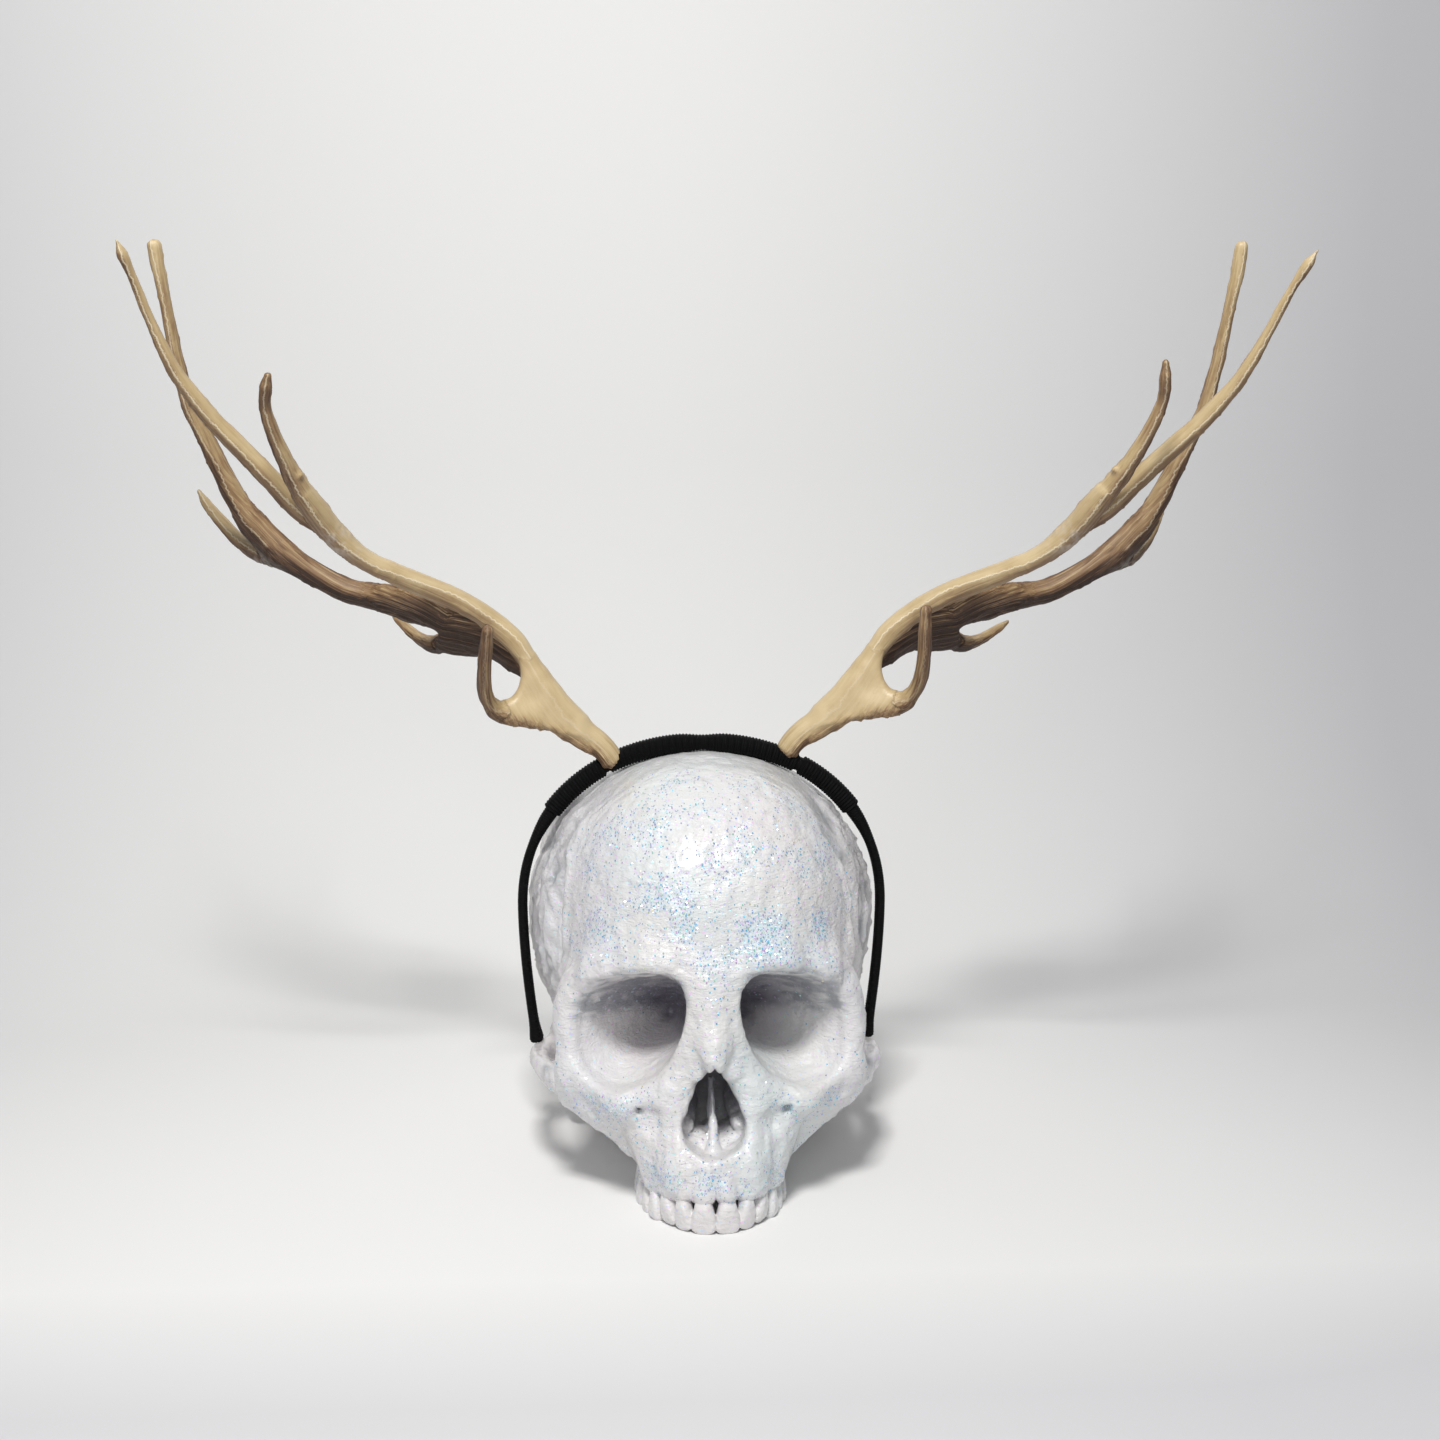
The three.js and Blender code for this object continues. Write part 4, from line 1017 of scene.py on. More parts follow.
def glitter_density(p, facing):
    """Where the flakes lie: thick over the brow, thin on the forehead and cheeks, almost none elsewhere."""
    sideways, forward, up = p.T
    front = smoothstep(0.1, 0.55, facing[:, 1])
    patches = smoothstep(0.38, 0.7, layered(p / 11, 91, 3))
    brow = hump(up, 52, 14) * hump(sideways, 10, 30) * smoothstep(50, 75, forward)
    forehead = 0.28 * smoothstep(30, 60, forward) * smoothstep(30, 55, up)
    cheek = hump(np.abs(sideways), 34, 13) * hump(up, -8, 8)
    gums = hump(up, -36, 7) * smoothstep(60, 75, forward)
    thin = 0.07 * smoothstep(40, 60, forward)
    cover = (brow + forehead + 0.45 * cheek + 0.4 * gums) * (0.1 + 1.4 * patches) + thin
    return np.clip(front * cover * (1 - 0.85 * socket_mask(p)), 0, 1)


def socket_mask(p):
    """1 inside an eye socket, 0 from 4 mm outside it."""
    return smoothstep(4, 0, socket(folded(p)))


# Teeth, as (width, depth) from the middle to the back of one side

TEETH = [(8.6, 7), (6.9, 6.5), (7.6, 8), (7, 9), (6.8, 9.4), (10, 11), (9.4, 11)]
FRONT_TEETH = 3
FIRST_MOLAR = 5
ARCH = {"half": 23.6, "long": 46, "back": 50, "squareness": 2.35}
TOOTH_ROUNDNESS = 2.9
TOOTH_TOP_H = -33
PAST_EDGE = 1.2
EDGE_ROUNDING = 2.4


def arch_point(angle):
    """A point on the dental arch, as (sideways, forward), at an angle from its front."""
    across, forward = (max(v, 0) ** (2 / ARCH["squareness"]) for v in (math.sin(angle), math.cos(angle)))
    return np.array([ARCH["half"] * across, ARCH["back"] + ARCH["long"] * forward])


def tooth_places():
    """Each tooth of one side, front to back: number, middle, direction along the arch, width and depth."""
    angle, places = 0.0, []
    for i, (wide, deep) in enumerate(TEETH):
        end = angle
        while np.linalg.norm(arch_point(end) - arch_point(angle)) < wide:
            end += 0.004
        chord = arch_point(end) - arch_point(angle)
        middle = (arch_point(angle) + arch_point(end)) / 2
        places.append((i, middle, chord / np.linalg.norm(chord), wide, deep))
        angle = end
    return places


def tooth_roots():
    """Upright swellings over the roots, which thin out towards the nose."""
    roots = []
    for i, middle, chord, wide, _ in tooth_places():
        inward = np.array([chord[1], -chord[0]])
        low, high = middle + inward * 0.1, middle + inward * 2.6
        is_canine = i == FRONT_TEETH - 1
        top = -23 if is_canine else -28
        roots.append(rod((*low, -40), (*high, top), 0.46 * wide, 0.34 * wide))
    return roots


def tooth_stations():
    """Each tooth's sideways place and direction, and its ovals from root to edge: forward, up, wide, deep."""
    for i, middle, chord, wide, deep in tooth_places():
        x, f = middle
        edge = TOOTH_EDGE_H + (2.2 if i >= FIRST_MOLAR else 0.8 * min(i, 2))
        blade = i < FRONT_TEETH
        yield x, chord, [
            (f - 0.8, -36, wide * 0.6, deep * 0.7),
            (f - 0.4, -42, wide * 0.64, deep * 0.84),
            (f + 0.2, -44.2, wide * 0.78, deep * 0.92),
            (f + 0.5, -47, wide * 0.99, deep * (0.8 if blade else 0.98)),
            (f + 0.6, -50, wide * 1.03, deep * (0.56 if blade else 0.94)),
            (f + 0.6, edge + 0.6, wide * 1.0, deep * (0.38 if blade else 0.8)),
        ]


def teeth_field(axes):
    """All the teeth of both sides as one field on a grid."""
    value = np.full([len(a) for a in axes], 9.0, np.float32)
    grid = np.stack(np.meshgrid(*axes, indexing="ij"), -1)
    for x, chord, ovals in tooth_stations():
        forwards, heights, wides, deeps = np.array(ovals[::-1]).T
        at_height = lambda values: np.interp(grid[..., 2], heights, values)
        for side in (1, -1):
            wide_axis = np.array([side * chord[0], chord[1], 0])
            deep_axis = np.array([-wide_axis[1], wide_axis[0], 0])
            off = grid - np.array([side * x, 0, 0])
            off[..., 1] -= at_height(forwards)
            wide, deep = at_height(wides), at_height(deeps)
            u, v = (off @ wide_axis) / (wide / 2), (off @ deep_axis) / (deep / 2)
            size = (np.abs(u) ** TOOTH_ROUNDNESS + np.abs(v) ** TOOTH_ROUNDNESS) ** (1 / TOOTH_ROUNDNESS)
            body = (size - 1) * np.minimum(wide, deep) / 2
            end = np.maximum(heights[0] - grid[..., 2] - PAST_EDGE, grid[..., 2] - TOOTH_TOP_H)
            value = np.minimum(value, -blend(-body, -end, EDGE_ROUNDING)).astype(np.float32)
    return value


def make_teeth(material):
    cell = 0.5
    axes = [np.arange(-33, 33.1, cell), np.arange(44, 104, cell), np.arange(-57, -30, cell)]
    points, faces = skin(teeth_field(axes), axes)
    points = relax(points, faces, 1)
    facing = normals(points, faces)
    points = points + facing * (0.25 * (layered(points / [2.2, 2.2, 6], 101, 2) - 0.5))[:, None]
    placed = skull_to_display(points)
    placed[:, 2] = np.maximum(placed[:, 2], 0)
    plain = np.zeros(len(placed))
    numbers = {"glitter": plain + 0.1, "painted_crease_and_brow_shade": plain, "painted_cavity_shade": plain}
    piece = make_mesh("teeth", placed, faces[:, ::-1], material, numbers)
    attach(piece, "root")
    return piece


# Headband. A turn of 0 is the top of the hoop, and -1 and 1 are its two ends.

ARC_SHARE = 0.66
CORD_SQUARENESS = 2.6
HOOP_CORD = {"sides": 18, "rib": 0.14, "pitch": 1.05}
WRAP_CORD = {"sides": 24, "rib": 0.2, "pitch": 1.3}
WRAP_TURNS = {"centre": (-0.225, 0.225), "left": (-0.41, -0.229), "right": (0.229, 0.41)}


def band_point(turn):
    """A rounded arch over the top, and nearly straight legs that draw in a little towards their ends."""
    side = math.copysign(1, turn)
    reach = abs(turn)
    if reach <= ARC_SHARE:
        angle = reach / ARC_SHARE * math.pi / 2
        across, up = (max(v, 0) ** (2 / BAND["squareness"]) for v in (math.sin(angle), math.cos(angle)))
        return np.array([side * BAND["half_width"] * across, 0, BAND["widest_z"] + BAND["rise"] * up])
    down = (reach - ARC_SHARE) / (1 - ARC_SHARE)
    inward = (BAND["half_width"] - BAND["end_half_width"]) * down**1.7
    drop = (BAND["widest_z"] - BAND["end_z"]) * down
    return np.array([side * (BAND["half_width"] - inward), 0, BAND["widest_z"] - drop])


def cord_band(name, turns, size_at, material, sides, rib, pitch):
    """A closed band of rounded section along the hoop, with a rib for each turn of the cord."""
    middle = np.array([band_point(t) for t in turns])
    along = np.gradient(middle, axis=0)
    along /= np.linalg.norm(along, axis=1, keepdims=True)
    wide = np.array([0.0, 1, 0])
    out = np.cross(wide, along)
    run = np.concatenate([[0], np.cumsum(np.linalg.norm(np.diff(middle, axis=0), axis=1))])
    rows, runs = [], []
    angles = 2 * np.pi * np.arange(sides) / sides
    cos, sin = np.cos(angles), np.sin(angles)
    reach = (np.abs(cos) ** CORD_SQUARENESS + np.abs(sin) ** CORD_SQUARENESS) ** (-1 / CORD_SQUARENESS)
    for i, turn in enumerate(turns):
        thick, deep = size_at(turn, run[i], run[-1])
        swell = rib * math.cos(2 * math.pi * run[i] / pitch)
        across = np.outer(reach * cos, wide) * (deep / 2 + swell)
        rows.append(middle[i] + across + np.outer(reach * sin, out[i]) * (thick / 2 + swell))
        runs.append(np.full(sides, run[i]))
    points = np.concatenate(rows + [middle[:1], middle[-1:]])
    rings = len(turns)
    faces = []
    for i in range(rings - 1):
        a = i * sides + np.arange(sides)
        b = i * sides + (np.arange(sides) + 1) % sides
        faces.append(np.column_stack([a, b, b + sides, a + sides]))
    faces = np.concatenate(faces)
    start, end = len(points) - 2, len(points) - 1
    j = np.arange(0, sides, 2)

    def cap(centre, first):
        return np.column_stack([np.full(len(j), centre), first + j, first + j + 1, first + (j + 2) % sides])

    start_cap = cap(start, 0)[:, [0, 3, 2, 1]]
    faces = np.concatenate([faces, start_cap, cap(end, (rings - 1) * sides)])
    along_mm = np.concatenate(runs + [[run[0]], [run[-1]]])
    return make_mesh(name, points, faces, material, {"along": along_mm})


def end_round(run, total, radius):
    """How much of the section is left near an end, for a rounded end of that radius."""
    into = min(run, total - run, radius) / radius
    return math.sqrt(max(0.02, 1 - (1 - into) ** 2))


def hoop_size(turn, run, total):
    """Thick and deep: a little fuller under the wraps, and flared at the very ends."""
    flare = 2.4 * hump(abs(turn), 1, 0.035)
    under_wrap = 1.8 * smoothstep(0.52, 0.40, abs(turn))
    left = end_round(run, total, 2.2)
    return (BAND["thick"] + 0.8 * flare + under_wrap) * left, (BAND["deep"] + flare + under_wrap) * left


def wrap_size(turn, run, total):
    """Thick and deep, drawn in to a small notch at the top of the hoop."""
    waist = 1.6 * hump(turn, 0, 0.03)
    left = end_round(run, total, 1.6)
    return (WRAP["thick"] - waist) * left, (WRAP["deep"] - 0.6 * waist) * left


def make_headband(material):
    turns = np.linspace(-1, 1, 1150)
    hoop = cord_band("headband_hoop_cord", turns, hoop_size, material, **HOOP_CORD)
    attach(hoop, "root")
    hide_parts("headband_hoop")
    for name, (low, high) in WRAP_TURNS.items():
        turns = np.linspace(low, high, int((high - low) * (1900)))
        piece = cord_band(f"headband_wrap_{name}_cord", turns, wrap_size, material, **WRAP_CORD)
        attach(piece, "root")
        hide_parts(f"headband_wrap_{name}")


# Materials

class Nodes:
    """Short calls for one material's or group's node tree."""

    def __init__(self, tree):
        self.tree = tree

    def fill(self, node, inputs):
        """Links each input that is given an output, and sets the others to the given value."""
        for key, value in inputs.items():
            if isinstance(value, bpy.types.NodeSocket):
                self.tree.links.new(value, node.inputs[key])
            else:
                node.inputs[key].default_value = value

    def add(self, kind, inputs=None, **settings):
        node = self.tree.nodes.new(kind)
        for key, value in settings.items():
            setattr(node, key, value)
        self.fill(node, inputs or {})
        return node

    def attribute(self, name, output="Fac"):
        return self.add("ShaderNodeAttribute", attribute_name=name).outputs[output]

    def scaled(self, place, scale, shift=(0, 0, 0)):
        return self.add("ShaderNodeMapping", {"Vector": place, "Location": shift, "Scale": scale}).outputs[0]

    def cloud(self, place, scale, detail, roughness=0.5, distortion=0.0):
        inputs = {"Vector": place, "Scale": scale, "Detail": detail}
        inputs.update({"Roughness": roughness, "Distortion": distortion})
        return self.add("ShaderNodeTexNoise", inputs).outputs["Fac"]

    def mix(self, factor, a, b):
        return self.add("ShaderNodeMix", {0: factor, 6: a, 7: b}, data_type="RGBA").outputs[2]

    def math(self, operation, a, b=0.0, clamp=False):
        return self.add("ShaderNodeMath", {0: a, 1: b}, operation=operation, use_clamp=clamp).outputs[0]

    def plus(self, a, b, clamp=False):
        return self.math("ADD", a, b, clamp)

    def minus(self, a, b):
        return self.math("SUBTRACT", a, b)

    def times(self, a, b, clamp=False):
        return self.math("MULTIPLY", a, b, clamp)

    def remap(self, value, from_low, from_high, to_low=0.0, to_high=1.0):
        inputs = {
            "Value": value, "From Min": from_low, "From Max": from_high, "To Min": to_low, "To Max": to_high,
        }
        return self.add("ShaderNodeMapRange", inputs).outputs[0]

    def bump(self, height, strength, distance):
        inputs = {"Strength": strength, "Distance": distance, "Height": height}
        return self.add("ShaderNodeBump", inputs).outputs["Normal"]

    def ramp(self, factor, stops):
        node = self.add("ShaderNodeValToRGB", {"Fac": factor})
        while len(node.color_ramp.elements) < len(stops):
            node.color_ramp.elements.new(0.5)
        for element, (at, colour) in zip(node.color_ramp.elements, stops):
            element.position = at
            element.color = (*colour, 1)
        return node.outputs["Color"]


def new_material(name):
    material = bpy.data.materials.new(name)
    material.use_nodes = True
    return material, Nodes(material.node_tree), material.node_tree.nodes["Principled BSDF"]


# Tan plastic under a brown wash and painted shade, from bare to deepest, the painted highlight along the
# crests, and what shows where it is marked
ANTLER_BROWNS = [
    (0.0, (0.62, 0.49, 0.29)), (0.2, (0.49, 0.36, 0.19)), (0.42, (0.29, 0.178, 0.088)),
    (0.7, (0.125, 0.063, 0.03)), (1.0, (0.042, 0.019, 0.009)),
]
# The colour of the painted highlight along the crests
CREST_HIGHLIGHT_PAINT = (0.80, 0.69, 0.49, 1)
SCAR_GREY = (0.60, 0.53, 0.46, 1)
# The pale lines of painted highlight beside each crest: bends a millimetre, sway, width, how often it breaks
# off, and seed
CREST_THREADS = [(0.38, 2.2, 0.36, 0.26, 0.0), (0.6, 4.8, 0.28, 0.44, 31.0)]


def antler_paint():
    """A brown wash in the streaks, painted shade on the undersides, and pale thread lines of painted
    highlight along the crests.
    """
    material, n, shader = new_material("painted_antler")
    straight = n.attribute("straight", "Vector")
    wash_and_painted_shade, ribbed, scar = n.attribute("wash_and_painted_shade"), n.attribute("ribbed"), n.attribute("scar")
    crest = n.add("ShaderNodeSeparateXYZ", {"Vector": n.attribute("crest", "Vector")}).outputs
    streaks = n.cloud(n.scaled(straight, (0.03, 0.75, 0.75)), 1.0, 3.0, 0.65)
    hairs = n.cloud(n.scaled(straight, (0.06, 2.1, 2.1)), 1.0, 2.0, 0.6)
    cloud = n.cloud(n.scaled(straight, (0.07, 0.16, 0.16)), 1.0, 3.0, 0.6)
    grit = n.cloud(n.scaled(straight, (2.2, 2.2, 2.2)), 1.0, 3.0, 0.6)

    dark_streak = n.remap(streaks, 0.56, 0.38)
    dark_hair = n.remap(hairs, 0.60, 0.36)
    light_hair = n.remap(hairs, 0.54, 0.70)
    strength = n.plus(n.plus(n.times(ribbed, 0.38), n.times(wash_and_painted_shade, 0.12)), 0.015)
    drawn = n.plus(dark_streak, n.times(n.minus(dark_hair, light_hair), 0.6))
    level = n.plus(n.times(wash_and_painted_shade, 0.85), n.times(drawn, strength))
    level = n.plus(level, n.remap(cloud, 0.3, 0.7, -0.09, 0.1), True)

    def thread(bends, sway, width, breaks_from, seed):
        """A thin pale line of painted highlight that sways beside the crest and breaks off now and then."""
        moved = n.scaled(straight, (bends, 0.02, 0.02), (seed, seed, seed))
        offset = n.times(n.minus(n.cloud(moved, 1.0, 3.0, 0.65), 0.5), sway)
        line = n.remap(n.math("ABSOLUTE", n.minus(crest["X"], offset)), width, 0.3 * width)
        return n.times(line, n.remap(n.cloud(moved, 0.35, 2.0), breaks_from, breaks_from + 0.2), True)

    threads = n.plus(*[thread(*sizes) for sizes in CREST_THREADS], True)
    threads = n.times(threads, n.math("GREATER_THAN", crest["Y"], 0.0))
    threads = n.times(threads, crest["Z"], True)
    threads = n.times(threads, n.remap(wash_and_painted_shade, 0.25, 0.8, 1.0, 0.25))
    # Pale painted highlight along the crests
    colour = n.mix(n.times(threads, 0.85, True), n.ramp(level, ANTLER_BROWNS), CREST_HIGHLIGHT_PAINT)
    colour = n.mix(n.times(scar, 0.7), colour, SCAR_GREY)

    lines = n.times(n.plus(streaks, n.times(hairs, 0.5)), n.plus(ribbed, 0.05))
    height = n.plus(n.plus(lines, n.times(grit, 0.1)), n.times(threads, 0.15))
    n.fill(shader, {
        "Base Color": colour, "Roughness": n.remap(level, 0.0, 1.0, 0.36, 0.66),
        "Normal": n.bump(height, 0.9, 0.0011), "Specular IOR Level": 0.5,
    })
    return material


CORD_BLACK = (0.0006, 0.0006, 0.0008, 1)
CORD_THREAD = (0.004, 0.004, 0.005, 1)
CORD_WORN = (0.009, 0.009, 0.011, 1)
THREAD_PITCH_MM = 0.52


def black_cord():
    material, n, shader = new_material("black_cord")
    place = n.add("ShaderNodeTexCoord").outputs["Object"]
    threads = n.cloud(place, 2600.0, 2.0)
    worn = n.cloud(place, 120.0, 2.0)
    rib = n.math("SINE", n.times(n.attribute("along"), 2 * math.pi / THREAD_PITCH_MM))
    colour = n.mix(n.remap(threads, 0.4, 0.75), CORD_BLACK, CORD_THREAD)
    colour = n.mix(n.remap(worn, 0.6, 0.8, 0.0, 0.3), colour, CORD_WORN)
    height = n.plus(n.times(rib, 0.5), n.times(threads, 0.7))
    n.fill(shader, {
        "Base Color": colour, "Roughness": n.remap(threads, 0.3, 0.7, 0.62, 0.85),
        "Normal": n.bump(height, 0.5, 0.0002), "Specular IOR Level": 0.14,
        "Sheen Weight": 0.01, "Sheen Roughness": 0.4,
    })
    return material


# The crease and cavity colours are those of painted shade.
PEARL = {
    "pinkish": (0.76, 0.70, 0.72, 1), "bluish": (0.68, 0.725, 0.735, 1), "cream": (0.745, 0.74, 0.725, 1),
    "glittered": (0.60, 0.77, 0.83, 1), "pink_side": (0.84, 0.62, 0.72, 1), "painted_crease_and_brow_shade": (0.24, 0.27, 0.30, 1),
    "painted_cavity_shade": (0.13, 0.125, 0.18, 1),
}


def pearl_coat():
    """White bone paint under pearl lacquer: cyan at the brow, pinkish at the sides, with painted shade in the
    creases, in the eye sockets and in the nose.
    """
    material, n, shader = new_material("pearl_coat")
    place = n.add("ShaderNodeTexCoord").outputs["Object"]
    glitter, painted_crease_and_brow_shade, painted_cavity_shade = n.attribute("glitter"), n.attribute("painted_crease_and_brow_shade"), n.attribute("painted_cavity_shade")
    flecks = n.add("ShaderNodeTexVoronoi", {"Vector": place, "Scale": 1500.0}).outputs["Color"]
    patch = n.cloud(place, 30.0, 3.0, 0.6)
    hue = n.cloud(place, 14.0, 2.0)
    lumps = n.cloud(place, 240.0, 5.0, 0.62)
    wrinkles = n.cloud(n.scaled(place, (0.55, 0.8, 1.5)), 420.0, 4.0, 0.6, 0.8)

    body = n.mix(n.remap(hue, 0.4, 0.6), PEARL["pinkish"], PEARL["bluish"])
    body = n.mix(n.remap(patch, 0.35, 0.65, 0.25, 0.75), PEARL["cream"], body)
    body = n.mix(n.times(glitter, 0.36, True), body, PEARL["glittered"])
    aside = n.math("ABSOLUTE", n.add("ShaderNodeSeparateXYZ", {"Vector": place}).outputs["X"])
    pink = n.times(n.remap(aside, 0.028, 0.046), n.remap(hue, 0.42, 0.62))
    body = n.mix(n.times(pink, 0.16, True), body, PEARL["pink_side"])
    # Painted shade in the temples' creases and painted shadow under the brow's edge
    body = n.mix(n.times(painted_crease_and_brow_shade, 0.8), body, PEARL["painted_crease_and_brow_shade"])
    # Painted shadow and painted shade in the eye sockets and the nose
    body = n.mix(n.times(painted_cavity_shade, 0.9), body, PEARL["painted_cavity_shade"])

    # A few of the tiny flecks in the lacquer show a colour of their own.
    split = n.add("ShaderNodeSeparateColor", {"Color": flecks}).outputs
    rare = n.math("GREATER_THAN", n.plus(split["Red"], n.times(glitter, 0.2)), 0.965)
    fleck_hue = n.remap(split["Green"], 0, 1, 0.44, 0.86)
    rainbow = n.add("ShaderNodeCombineColor", {"Red": fleck_hue, "Green": 0.4, "Blue": 0.9}, mode="HSV")
    height = n.plus(n.times(lumps, 0.7), n.times(wrinkles, 0.55))
    n.fill(shader, {
        "Base Color": n.mix(n.times(rare, 0.6), body, rainbow.outputs["Color"]),
        "Roughness": n.remap(lumps, 0.3, 0.7, 0.26, 0.44), "Normal": n.bump(height, 0.75, 0.0015),
        "Coat Weight": 0.5, "Coat Roughness": 0.14,
    })
    return material


FOIL_COLOURS = [
    (0.0, (0.30, 0.82, 0.95)), (0.22, (0.15, 0.58, 0.95)), (0.38, (0.42, 0.50, 0.95)),
    (0.54, (0.72, 0.92, 1.0)), (0.7, (0.80, 0.50, 0.90)), (0.82, (0.98, 0.95, 1.0)),
    (0.93, (0.40, 0.90, 0.70)), (1.0, (0.95, 0.76, 0.42)),
]


def glitter_flake():
    """Foil chips, mostly cyan and blue, some violet and pink, a few green or gold."""
    material, n, shader = new_material("glitter_flake")
    colour = n.ramp(n.attribute("tint"), FOIL_COLOURS)
    n.fill(shader, {"Base Color": colour, "Metallic": 0.5, "Roughness": 0.25})
    return material


PAPER_LIGHT = (0.85, 0.85, 0.845, 1)
# The colour of the painted shade away from the paper's middle
PAPER_PAINTED_SHADE = (0.62, 0.62, 0.64, 1)


def backdrop_paper():
    """Pale paper with painted shade that grows towards both sides, more so to the right, and at the front
    edge, so that its middle looks lit.
    """
    material, n, shader = new_material("pale_backdrop")
    place = n.add("ShaderNodeSeparateXYZ", {"Vector": n.add("ShaderNodeTexCoord").outputs["Object"]}).outputs
    away = n.math("POWER", n.math("ABSOLUTE", n.plus(place["X"], 0.05)), 2.0)
    painted_falloff = n.remap(away, 0.0, 0.30, 0.0, 1.0)
    right = n.remap(place["X"], 0.0, 0.5, 0.0, 0.25)
    front = n.remap(place["Y"], -0.13, -0.21, 0.0, 0.8)
    # Painted light in the middle, painted shade towards the sides, the right and the front edge
    colour = n.mix(n.plus(n.plus(painted_falloff, right), front, True), PAPER_LIGHT, PAPER_PAINTED_SHADE)
    n.fill(shader, {"Base Color": colour, "Roughness": 0.9})
    return material


# Glitter flakes, scattered by Geometry Nodes

FLAKE_RADIUS_M = 0.00025
FLAKES_PER_M2 = 1400000.0
FLAKE_LIFT_M = 0.00016


def flake_tree(material):
    """A tree that scatters six-sided chips, each leaning its own way, and the values of its inputs."""
    tree = bpy.data.node_groups.new("scattered_flakes", "GeometryNodeTree")
    face = tree.interface
    face.new_socket("Geometry", in_out="INPUT", socket_type="NodeSocketGeometry")
    radius_in = face.new_socket("Flake Radius", in_out="INPUT", socket_type="NodeSocketFloat")
    density_in = face.new_socket("Flakes Per Square Metre", in_out="INPUT", socket_type="NodeSocketFloat")
    face.new_socket("Geometry", in_out="OUTPUT", socket_type="NodeSocketGeometry")
    n = Nodes(tree)
    given = n.add("NodeGroupInput").outputs
    cover = n.add("GeometryNodeInputNamedAttribute", {"Name": "glitter"}, data_type="FLOAT")
    density = n.times(cover.outputs["Attribute"], given["Flakes Per Square Metre"])
    scatter = n.add(
        "GeometryNodeDistributePointsOnFaces", {"Mesh": given["Geometry"], "Density": density, "Seed": 7},
    ).outputs
    chip = n.add("GeometryNodeMeshCircle", {"Vertices": 6, "Radius": given["Flake Radius"]}, fill_type="NGON")
    lean = n.add(
        "FunctionNodeRandomValue", {"Min": (-0.5, -0.5, -3.1), "Max": (0.5, 0.5, 3.1), "Seed": 3},
        data_type="FLOAT_VECTOR",
    )
    tilt = n.add("FunctionNodeEulerToRotation", {"Euler": lean.outputs["Value"]})
    turns = {"Rotation": scatter["Rotation"], "Rotate By": tilt.outputs["Rotation"]}
    facing = n.add("FunctionNodeRotateRotation", turns, rotation_space="LOCAL")
    size = n.add("FunctionNodeRandomValue", {2: 0.5, 3: 1.5, "Seed": 4}, data_type="FLOAT")
    flakes = n.add("GeometryNodeInstanceOnPoints", {
        "Points": scatter["Points"], "Instance": chip.outputs["Mesh"],
        "Rotation": facing.outputs["Rotation"], "Scale": size.outputs[1],
    })
    lift = n.add("GeometryNodeTranslateInstances", {
        "Instances": flakes.outputs["Instances"], "Translation": (0, 0, FLAKE_LIFT_M),
    })
    tint = n.add("FunctionNodeRandomValue", {2: 0.0, 3: 1.0, "Seed": 5}, data_type="FLOAT")
    marked = n.add(
        "GeometryNodeStoreNamedAttribute",
        {"Geometry": lift.outputs["Instances"], "Name": "tint", "Value": tint.outputs[1]},
        data_type="FLOAT", domain="INSTANCE",
    )
    real = n.add("GeometryNodeRealizeInstances", {"Geometry": marked.outputs["Geometry"]})
    coat = n.add("GeometryNodeSetMaterial", {"Geometry": real.outputs["Geometry"], "Material": material})
    n.add("NodeGroupOutput", {"Geometry": coat.outputs["Geometry"]})
    return tree, {radius_in.identifier: FLAKE_RADIUS_M, density_in.identifier: FLAKES_PER_M2}


def plain_copy(carrier, tree, values, name):
    """Runs a Geometry Nodes tree on carrier and returns the result as a plain mesh object."""
    modifier = carrier.modifiers.new(tree.name, "NODES")
    modifier.node_group = tree
    for identifier, value in values.items():
        modifier[identifier] = value
    bpy.context.view_layer.update()
    evaluated = carrier.evaluated_get(bpy.context.evaluated_depsgraph_get())
    mesh = bpy.data.meshes.new_from_object(evaluated)
    mesh.name = name
    carrier.modifiers.remove(modifier)
    return show(name, mesh)


def make_glitter(skull, material):
    tree, values = flake_tree(material)
    flakes = plain_copy(skull, tree, values, "glitter_flakes")
    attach(flakes, "root")
    return flakes


# Stage, lights and camera

PAPER = {"half_width": 2.6, "front": -1.6, "fold": -0.4, "bend_start": 0.13, "bend_radius": 0.28, "top": 2.6}
BEND_STEPS = 32
DISPLAY_CENTRE = Vector((0, 0, 0.12))
PHOTO_WIDTH_PX = 1440
FOCAL_LENGTH_PX = 1750
CAMERA = {"azimuth_deg": -3.2, "pitch_deg": 8, "distance": 0.7, "aim_mm": (7.2, 0, 170), "sensor_mm": 36}


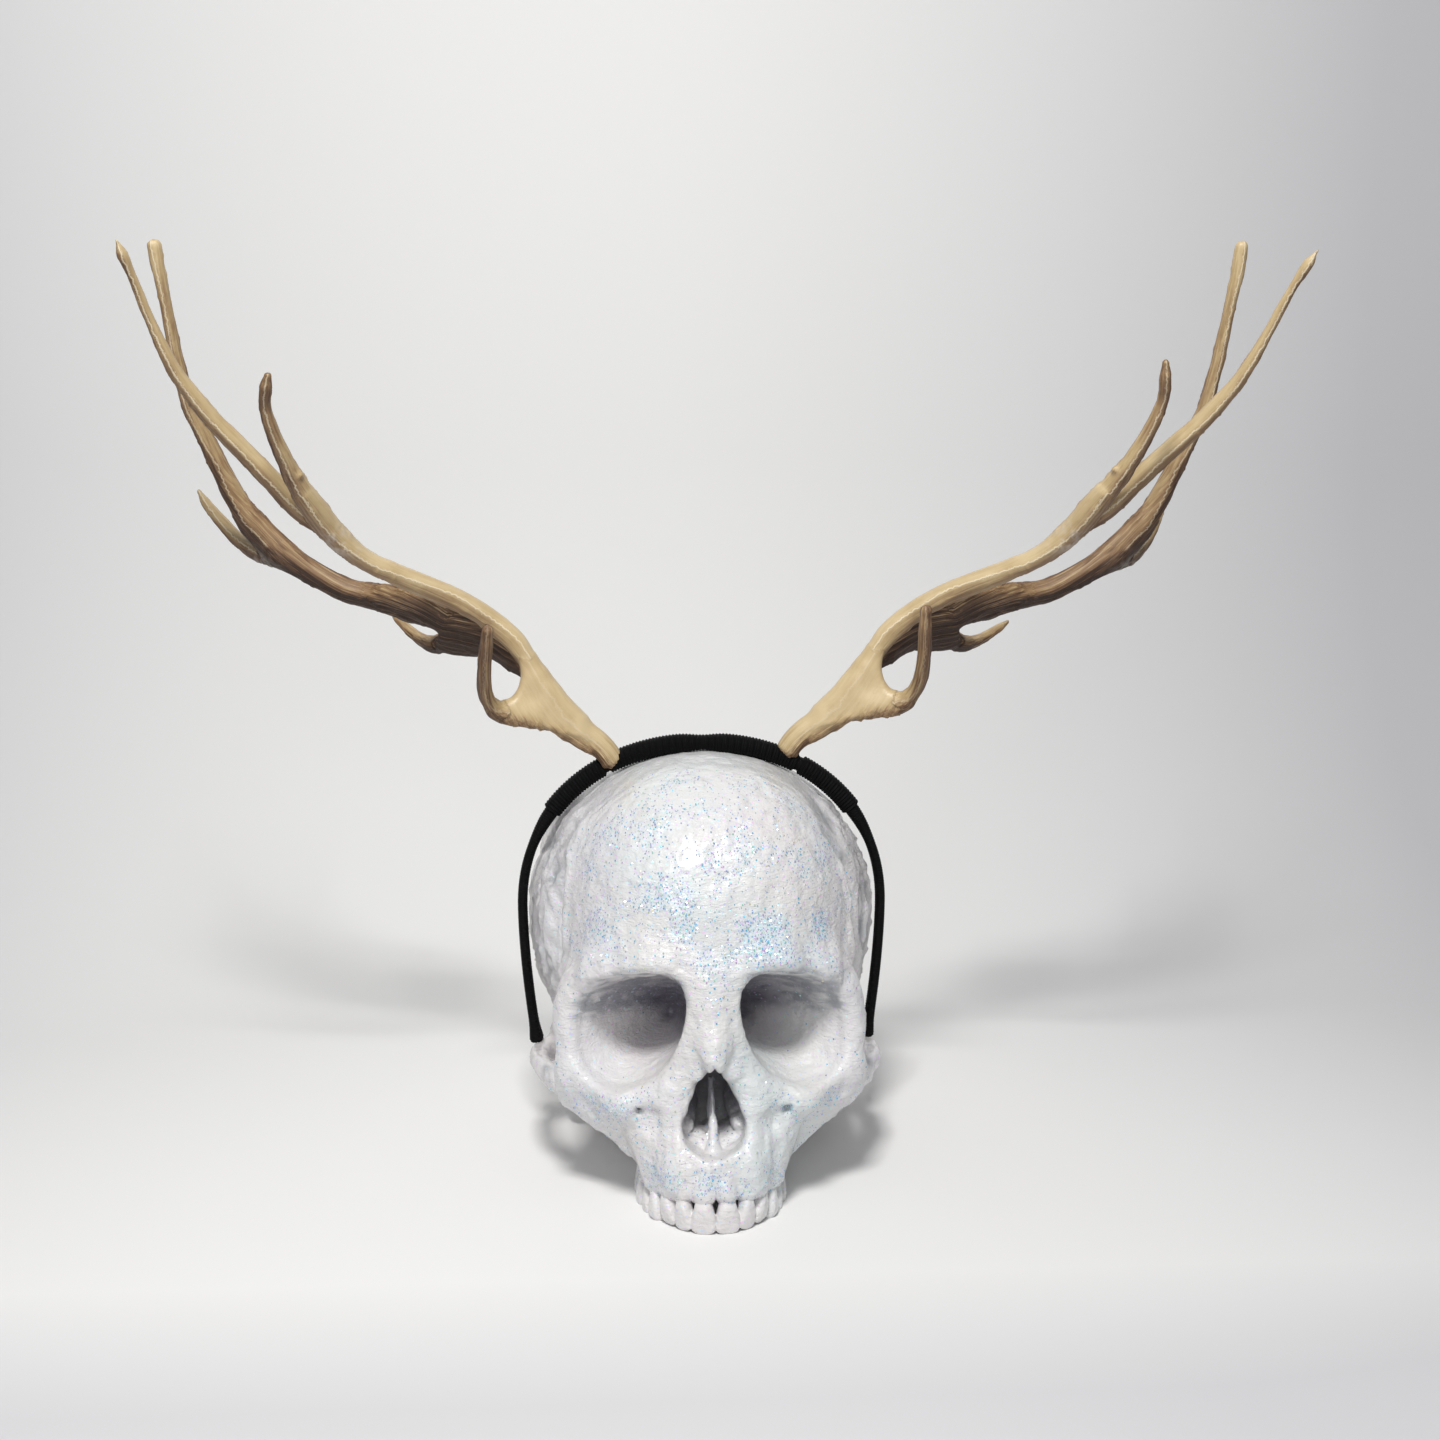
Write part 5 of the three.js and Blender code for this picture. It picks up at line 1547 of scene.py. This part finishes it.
def make_stage(material):
    """A seamless paper sweep: flat under the display, curved up close behind it."""
    start, bend = PAPER["bend_start"], PAPER["bend_radius"]
    profile = [(PAPER["front"], 0.0), (PAPER["fold"], 0.0), (start, 0.0)]
    for k in range(1, BEND_STEPS + 1):
        a = math.pi / 2 * k / BEND_STEPS
        profile.append((start + bend * math.sin(a), bend * (1 - math.cos(a))))
    profile.append((start + bend, PAPER["top"]))
    points = [(x, y, z) for y, z in profile for x in (-PAPER["half_width"], PAPER["half_width"])]
    faces = [(2 * i, 2 * i + 1, 2 * i + 3, 2 * i + 2) for i in range(len(profile) - 1)]
    mesh = bpy.data.meshes.new("backdrop")
    mesh.from_pydata(points, [], faces)
    mesh.polygons.foreach_set("use_smooth", np.full(len(faces), True))
    mesh.materials.append(material)
    show("backdrop", mesh)


def away_at(azimuth_deg, height_deg):
    """The way from the display to something at that azimuth and height; azimuth 0 is in front."""
    azimuth, height = math.radians(azimuth_deg), math.radians(height_deg)
    level = math.cos(height)
    return Vector((math.sin(azimuth) * level, -math.cos(azimuth) * level, math.sin(height)))


def softbox(name, azimuth_deg, height_deg, distance, size, watts, colour=(1, 1, 1)):
    away = away_at(azimuth_deg, height_deg)
    light = bpy.data.lights.new(name, "AREA")
    light.shape = "RECTANGLE"
    light.size, light.size_y = size
    light.energy = watts
    light.color = colour
    lamp = show(name, light)
    lamp.location = DISPLAY_CENTRE + away * distance
    lamp.rotation_euler = away.to_track_quat("Z", "Y").to_euler()


def make_lights():
    softbox("key_above", -9, 54, 1.15, (0.22, 0.22), 11.4, (1.0, 0.99, 0.97))
    softbox("soft_front", -8, 21, 1.25, (0.42, 0.32), 1.75)
    world = bpy.data.worlds.new("studio")
    world.use_nodes = True
    sky = world.node_tree.nodes["Background"].inputs
    sky["Color"].default_value = (0.95, 0.97, 1.0, 1)
    sky["Strength"].default_value = 0.2
    bpy.context.scene.world = world
    bpy.context.scene.view_settings.view_transform = "Standard"


def make_camera():
    aim = np.array(CAMERA["aim_mm"]) + DISPLAY_SHIFT
    back = away_at(CAMERA["azimuth_deg"], CAMERA["pitch_deg"])
    data = bpy.data.cameras.new("camera")
    data.sensor_width = CAMERA["sensor_mm"]
    data.lens = FOCAL_LENGTH_PX * CAMERA["sensor_mm"] / PHOTO_WIDTH_PX
    data.clip_start = 0.01
    camera = show("camera", data)
    camera.location = Vector(aim * MM) + back * CAMERA["distance"]
    camera.rotation_euler = back.to_track_quat("Z", "Y").to_euler()
    bpy.context.scene.camera = camera


make_camera()
paint, cord, pearl = antler_paint(), black_cord(), pearl_coat()
flake, paper = glitter_flake(), backdrop_paper()
for side in ("left", "right"):
    make_antler(side, paint)
make_headband(cord)
skull = make_skull(pearl)
make_teeth(pearl)
make_glitter(skull, flake)
make_stage(paper)
make_lights()
